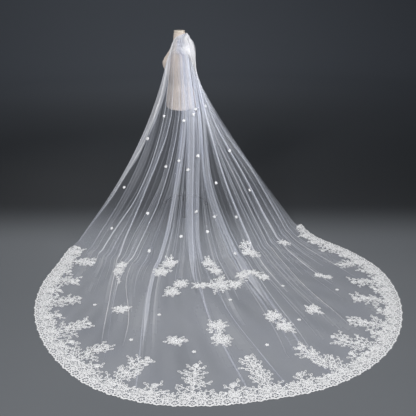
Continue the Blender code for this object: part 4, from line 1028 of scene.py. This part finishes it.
def tube_mesh(rings, closed_ends=True):
    """Rings of points joined round and along; the ends closed."""
    rings = np.asarray(rings)
    rows, cols = rings.shape[:2]
    index = np.arange(rows * cols).reshape(rows, cols)
    nxt = np.roll(index, -1, axis=1)
    faces = [tuple(f) for f in np.stack([index[:-1], nxt[:-1], nxt[1:], index[1:]], -1).reshape(-1, 4)]
    if closed_ends:
        faces += [tuple(index[0][::-1]), tuple(index[-1])]
    return rings.reshape(-1, 3), faces


def turned(profile, count=40, wave=0.0):
    """A turned piece about z from (radius, height) rows; wave gives the first radii a grip."""
    a = 2 * np.pi * np.arange(count) / count
    rings = [[(r * (1 + wave * math.cos(8 * t)) * math.cos(t), r * (1 + wave * math.cos(8 * t)) * math.sin(t), z) for t in a] for r, z in profile]
    return tube_mesh(rings)


def swept(path, radii, count=18):
    """A round bar along a path."""
    path = np.asarray(path, float)
    way = unit(np.gradient(path, axis=0))
    side = unit(np.cross(way, np.array([0.0, 0.0, 1.0]) + 0.001))
    up = np.cross(side, way)
    a = 2 * np.pi * np.arange(count) / count
    radii = np.broadcast_to(radii, len(path))
    rings = [[p + (s * math.cos(t) + w * math.sin(t)) * r for t in a] for p, s, w, r in zip(path, side, up, radii)]
    return tube_mesh(rings)


jersey = textured("form_jersey", (0.63, 0.545, 0.485), (0.68, 0.595, 0.53), 0.88, 14.0, ("cells", 0.0016), 0.55, 0.0004, (1.0, 1.0, 0.6), Sheen_Weight=0.25)
plate_cover = textured("form_plate_cover", (0.64, 0.51, 0.455), (0.69, 0.56, 0.505), 0.80, 22.0, ("cells", 0.0016), 0.5, 0.0004, Sheen_Weight=0.2)
cap_wood = textured("form_cap_lacquer", (0.66, 0.585, 0.50), (0.72, 0.645, 0.555), 0.42, 18.0, ("speckle", 0.003), 0.12, 0.0003, (0.25, 2.0, 6.0), Coat_Weight=0.15)
board = textured("form_base_board", (0.20, 0.155, 0.115), (0.27, 0.215, 0.16), 0.60, 30.0, ("speckle", 0.002), 0.3, 0.0003, (0.2, 3.0, 3.0))
black = textured("form_knob_plastic", (0.030, 0.028, 0.028), (0.045, 0.042, 0.042), 0.42, 200.0, ("speckle", 0.0006), 0.15, 0.0001)
painted = textured("form_stand_paint", (0.022, 0.022, 0.024), (0.034, 0.034, 0.037), 0.38, 60.0, ("speckle", 0.0012), 0.18, 0.0002, Metallic=0.5)
rubber = textured("form_foot_rubber", (0.018, 0.018, 0.018), (0.030, 0.030, 0.030), 0.78, 120.0, ("speckle", 0.0008), 0.3, 0.0002)
steel = textured("comb_steel", (0.62, 0.63, 0.65), (0.74, 0.75, 0.77), 0.28, 90.0, ("speckle", 0.0008), 0.1, 0.0001, (1.0, 1.0, 12.0), Metallic=1.0)

cover_pts = form_cover()
rows_n, cols_n = cover_pts.shape[:2]
pts, faces = tube_mesh(cover_pts, closed_ends=False)
# the base board inside the taped edge
foot = cover_pts[0]
middle = foot.mean(0)
inner = middle + (foot - middle) * 0.955 + np.array([0.0, 0.0, 0.0004])
lifted = middle + (foot - middle) * 0.945 + np.array([0.0, 0.0, 0.0030])
count = len(pts)
pts = np.concatenate([pts, inner, lifted, [middle + (0.0, 0.0, 0.0030)]])
kinds = [0] * len(faces)
for k in range(cols_n):
    j = (k + 1) % cols_n
    faces += [(count + k, count + j, j, k), (count + cols_n + k, count + cols_n + j, count + j, count + k), (len(pts) - 1, count + cols_n + j, count + cols_n + k)]
    kinds += [0, 0, 1]
# the neck's own top edge, rolled in under the cap
top_ring = cover_pts[-1]
top_mid = top_ring.mean(0)
start = len(pts)
pts = np.concatenate([pts, top_mid + (top_ring - top_mid) * 0.93, [top_mid]])
for k in range(cols_n):
    j = (k + 1) % cols_n
    faces += [((rows_n - 1) * cols_n + k, (rows_n - 1) * cols_n + j, start + j, start + k), (start + k, start + j, len(pts) - 1)]
    kinds += [0, 0]
torso = mesh_object("form_cover", pts, faces, (jersey, board), kinds)
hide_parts("form_torso")

low_z, high_z = FORM[-1][0] + 0.0003, CAP_TOP
cap_x, cap_rx, cap_ry = (FORM[-1][1] + FORM[-1][2]) / 2, (FORM[-1][2] - FORM[-1][1]) / 2 - 0.001, FORM[-1][3] - 0.001
pts, faces = turned(((0.30, low_z), (0.975, low_z), (0.998, low_z + 0.0010), (1.0, low_z + 0.0030), (0.986, low_z + 0.0044), (0.986, low_z + 0.0052),
                     (1.0, low_z + 0.0066), (1.0, high_z - 0.0050), (0.992, high_z - 0.0024), (0.966, high_z - 0.0008), (0.92, high_z - 0.0002),
                     (0.60, high_z), (0.30, high_z)), 56)
pts = pts * (cap_rx, cap_ry, 1.0) + (cap_x, 0.0, 0.0) + POLE
cap = mesh_object("form_cap", pts, faces, (cap_wood,))
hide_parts("form_neck_cap")

for word, side in (("near", -1.0), ("far", 1.0)):
    pts, faces = turned(((0.60, 0.0), (0.97, 0.0), (1.0, 0.0010), (1.0, 0.0036), (0.985, 0.0050), (0.955, 0.0058), (0.93, 0.0060), (0.905, 0.0052),
                         (0.88, 0.0050), (0.70, 0.0057), (0.40, 0.0062), (0.15, 0.0063)), 48)
    pts = np.stack([0.004 + pts[:, 0] * 0.034, side * (ARMHOLE_Y + 0.0003 + pts[:, 2]), 1.374 + pts[:, 1] * 0.050], 1) + POLE
    if side < 0:
        faces = [f[::-1] for f in faces]
    plate = mesh_object(f"form_plate_{word}", pts, [f[::-1] for f in faces], (plate_cover,))
    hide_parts(f"form_arm_plate_{word}")
    pts, faces = turned(((0.0040, 0.0), (0.0048, 0.0004), (0.0048, 0.0014), (0.0036, 0.0020), (0.0040, 0.0028), (0.0062, 0.0038), (0.0065, 0.0052),
                         (0.0063, 0.0070), (0.0052, 0.0080), (0.0030, 0.0086), (0.0012, 0.0087)), 48, 0.035)
    pts = np.stack([0.016 + pts[:, 0], side * (ARMHOLE_Y + 0.0068 + pts[:, 2]), 1.386 + pts[:, 1]], 1) + POLE
    if side < 0:
        faces = [f[::-1] for f in faces]
    grip = mesh_object(f"form_knob_{word}", pts, [f[::-1] for f in faces], (black,))
    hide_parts(f"form_arm_knob_{word}")

pts, faces = turned(((0.0060, 0.0700), (0.0165, 0.0700), (0.0185, 0.0712), (0.0235, 0.0772), (0.0240, 0.0790), (0.0240, 0.1370), (0.0232, 0.1392),
                     (0.0200, 0.1490), (0.0186, 0.1506), (0.0140, 0.1600), (0.0127, 0.1630), (0.0125, 0.1660), (0.0125, 0.5000), (0.0125, 0.8960),
                     (0.0122, 0.9014), (0.0114, 0.9024), (0.0060, 0.9026)), 48)
pole = mesh_object("form_pole_turned", pts + POLE, faces, (painted,))
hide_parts("form_pole")

for k, degrees in enumerate((30.0, 150.0, 270.0), start=1):
    a = math.radians(degrees)
    out = np.array([math.cos(a), math.sin(a), 0.0])
    route = ((0.0247, 0.112), (0.070, 0.108), (0.120, 0.090), (0.165, 0.058), (0.198, 0.026), (0.210, 0.011))
    n = 40
    t = np.linspace(0, len(route) - 1, n)
    r, z = (cubic(range(len(route)), [row[i] for row in route], t) for i in (0, 1))
    path = out * r[:, None] + np.array([0.0, 0.0, 1.0]) * z[:, None]
    thick = 0.0085 - 0.0010 * smooth(0.75, 1.0, np.arange(n) / (n - 1))
    pts, faces = swept(path, thick)
    pad_pts, pad_faces = turned(((0.006, 0.0), (0.0158, 0.0), (0.0169, 0.0012), (0.0170, 0.0030), (0.0163, 0.0052), (0.0166, 0.0066), (0.0158, 0.0120),
                                 (0.0146, 0.0148), (0.0128, 0.0160), (0.0050, 0.0160)), 36)
    pad_pts = pad_pts + out * 0.210
    kinds = [0] * len(faces) + [1] * len(pad_faces)
    faces = faces + [tuple(i + len(pts) for i in f) for f in pad_faces]
    leg = mesh_object(f"form_leg_swept_{k}", np.concatenate([pts, pad_pts]) + POLE, faces, (painted, rubber), kinds)
    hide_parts(f"form_leg_{k}")

# comb: a curved spine with its row of teeth, between the neck and the gathers
a = np.radians(np.linspace(COMB_FROM + 4, COMB_TO - 4, 40))
spine = np.stack([NECK_X + (COMB_RX - 0.0040) * np.cos(a), (COMB_RY - 0.0040) * np.sin(a), COMB_Z + 0.0005 + 0 * a], 1)
pts, faces = swept(spine, 0.0011, 10)
for k in range(18):
    x, y, z = spine[int(round(1 + k * 37 / 17))]
    tooth = [(x, y, z), (x, y, z - 0.004), (x, y, z - 0.0085), (x, y, z - 0.0100)]
    ring = 2 * np.pi * np.arange(6) / 6
    more, more_faces = tube_mesh([[(px + r * math.cos(t), py + r * math.sin(t), pz) for t in ring] for (px, py, pz), r in zip(tooth, (0.0006, 0.0006, 0.0005, 0.0002))])
    faces = faces + [tuple(i + len(pts) for i in f) for f in more_faces]
    pts = np.concatenate([pts, more])
comb = mesh_object("veil_comb_teeth", pts + POLE, faces, (steel,))
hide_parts("veil_comb")

# ---------------------------------------------------------------- stage
floor_mat = textured("studio_floor", (0.152, 0.163, 0.177), (0.161, 0.172, 0.186), 0.86, 0.7, ("speckle", 0.004), 0.05, 0.0002)
# painted shade and light: the plain floor's colour is darkened behind the train, where studio light would fall off into
# a dark backdrop, and lightened again further back and up the far wall, as painted light where the lamps reach too
# little
tree = floor_mat.node_tree
where = tree.nodes.new("ShaderNodeTexCoord")
split = tree.nodes.new("ShaderNodeSeparateXYZ")
tree.links.new(where.outputs["Object"], split.inputs["Vector"])
tone = tree.nodes["Principled BSDF"].inputs["Base Color"].links[0].from_socket
radius = tree.nodes.new("ShaderNodeVectorMath")
radius.operation = "LENGTH"
tree.links.new(where.outputs["Object"], radius.inputs[0])
# painted shade behind the train, then painted light on the far floor and wall
for along, start, stop, rgb in ((split.outputs["Y"], 0.45, 1.35, (0.027, 0.030, 0.035)), (split.outputs["Y"], 1.4, 4.5, (0.072, 0.080, 0.092)),
                                (radius.outputs["Value"], 4.0, 9.5, (0.125, 0.14, 0.165))):
    fade = tree.nodes.new("ShaderNodeMapRange")
    fade.interpolation_type = "SMOOTHSTEP"
    fade.inputs["From Min"].default_value, fade.inputs["From Max"].default_value = start, stop
    painted_falloff_mix = tree.nodes.new("ShaderNodeMix")
    painted_falloff_mix.data_type = "RGBA"
    painted_falloff_mix.inputs["B"].default_value = (*rgb, 1.0)
    tree.links.new(along, fade.inputs["Value"])
    tree.links.new(fade.outputs["Result"], painted_falloff_mix.inputs["Factor"])
    tree.links.new(tone, painted_falloff_mix.inputs["A"])
    tone = painted_falloff_mix.outputs["Result"]
tree.links.new(tone, tree.nodes["Principled BSDF"].inputs["Base Color"])
bend = np.radians(np.linspace(0.0, 90.0, 25))
profile = [(0.0, 0.0), (4.0, 0.0)] + [(8.0 + 3.5 * math.sin(t), 3.5 - 3.5 * math.cos(t)) for t in bend] + [(11.5, 7.5)]
around = 2 * np.pi * np.arange(96) / 96
pts, faces = tube_mesh([[(max(r, 0.001) * math.cos(t), max(r, 0.001) * math.sin(t), z) for t in around] for r, z in profile], closed_ends=False)
mesh = bpy.data.meshes.new("studio_floor")
mesh.from_pydata(pts.tolist(), [], [tuple(int(i) for i in f[::-1]) for f in faces])
mesh.shade_smooth()
floor = bpy.data.objects.new("studio_floor", mesh)
floor.data.materials.append(floor_mat)
bpy.context.scene.collection.objects.link(floor)

world = bpy.data.worlds.new("studio")
world.use_nodes = True
world.node_tree.nodes["Background"].inputs["Color"].default_value = (0.80, 0.84, 0.90, 1.0)
world.node_tree.nodes["Background"].inputs["Strength"].default_value = 0.165
scene.world = world
scene.cycles.transparent_max_bounces = 64
scene.view_settings.view_transform = "Standard"


def softbox(name, at, to, size, power, spread):
    light = bpy.data.lights.new(name, "AREA")
    light.shape = "RECTANGLE"
    light.size, light.size_y = size
    light.energy = power
    light.spread = math.radians(spread)
    obj = bpy.data.objects.new(name, light)
    obj.location = at
    obj.rotation_euler = (Vector(to) - Vector(at)).to_track_quat("-Z", "Y").to_euler()
    scene.collection.objects.link(obj)
    return obj


softbox("key", (-2.9, -4.0, 3.9), (0.0, -0.2, 0.35), (1.5, 1.5), 51.0, 100.0)
softbox("fill", (3.9, -3.6, 3.0), (0.1, -0.3, 0.4), (2.4, 2.4), 38.0, 105.0)
softbox("top", (0.9, -1.1, 4.2), (0.0, -0.4, 0.4), (1.8, 1.8), 15.0, 100.0)
softbox("form", (-1.5, -2.7, 2.9), (-0.25, 1.05, 1.15), (1.0, 1.0), 4.0, 45.0)
softbox("rim", (2.3, 0.6, 2.2), (-0.2, 1.1, 1.1), (1.0, 1.0), 4.0, 50.0)
softbox("rear", (-2.6, 4.4, 3.3), (-0.3, 0.7, 0.8), (1.6, 1.6), 8.0, 70.0)
softbox("backdrop", (-0.8, 6.0, 4.2), (-1.6, 10.0, 0.8), (2.4, 2.4), 62.0, 180.0)

cam_data = bpy.data.cameras.new("camera")
cam_data.sensor_width = 36.0
cam_data.lens = 52.80
cam = bpy.data.objects.new("camera", cam_data)
cam.location = (0.2007 + POLE[0], -5.0 + POLE[1], 2.0)
cam.rotation_euler = (math.radians(90.0 - 21.80), 0.0, 0.0)
scene.collection.objects.link(cam)
scene.camera = cam
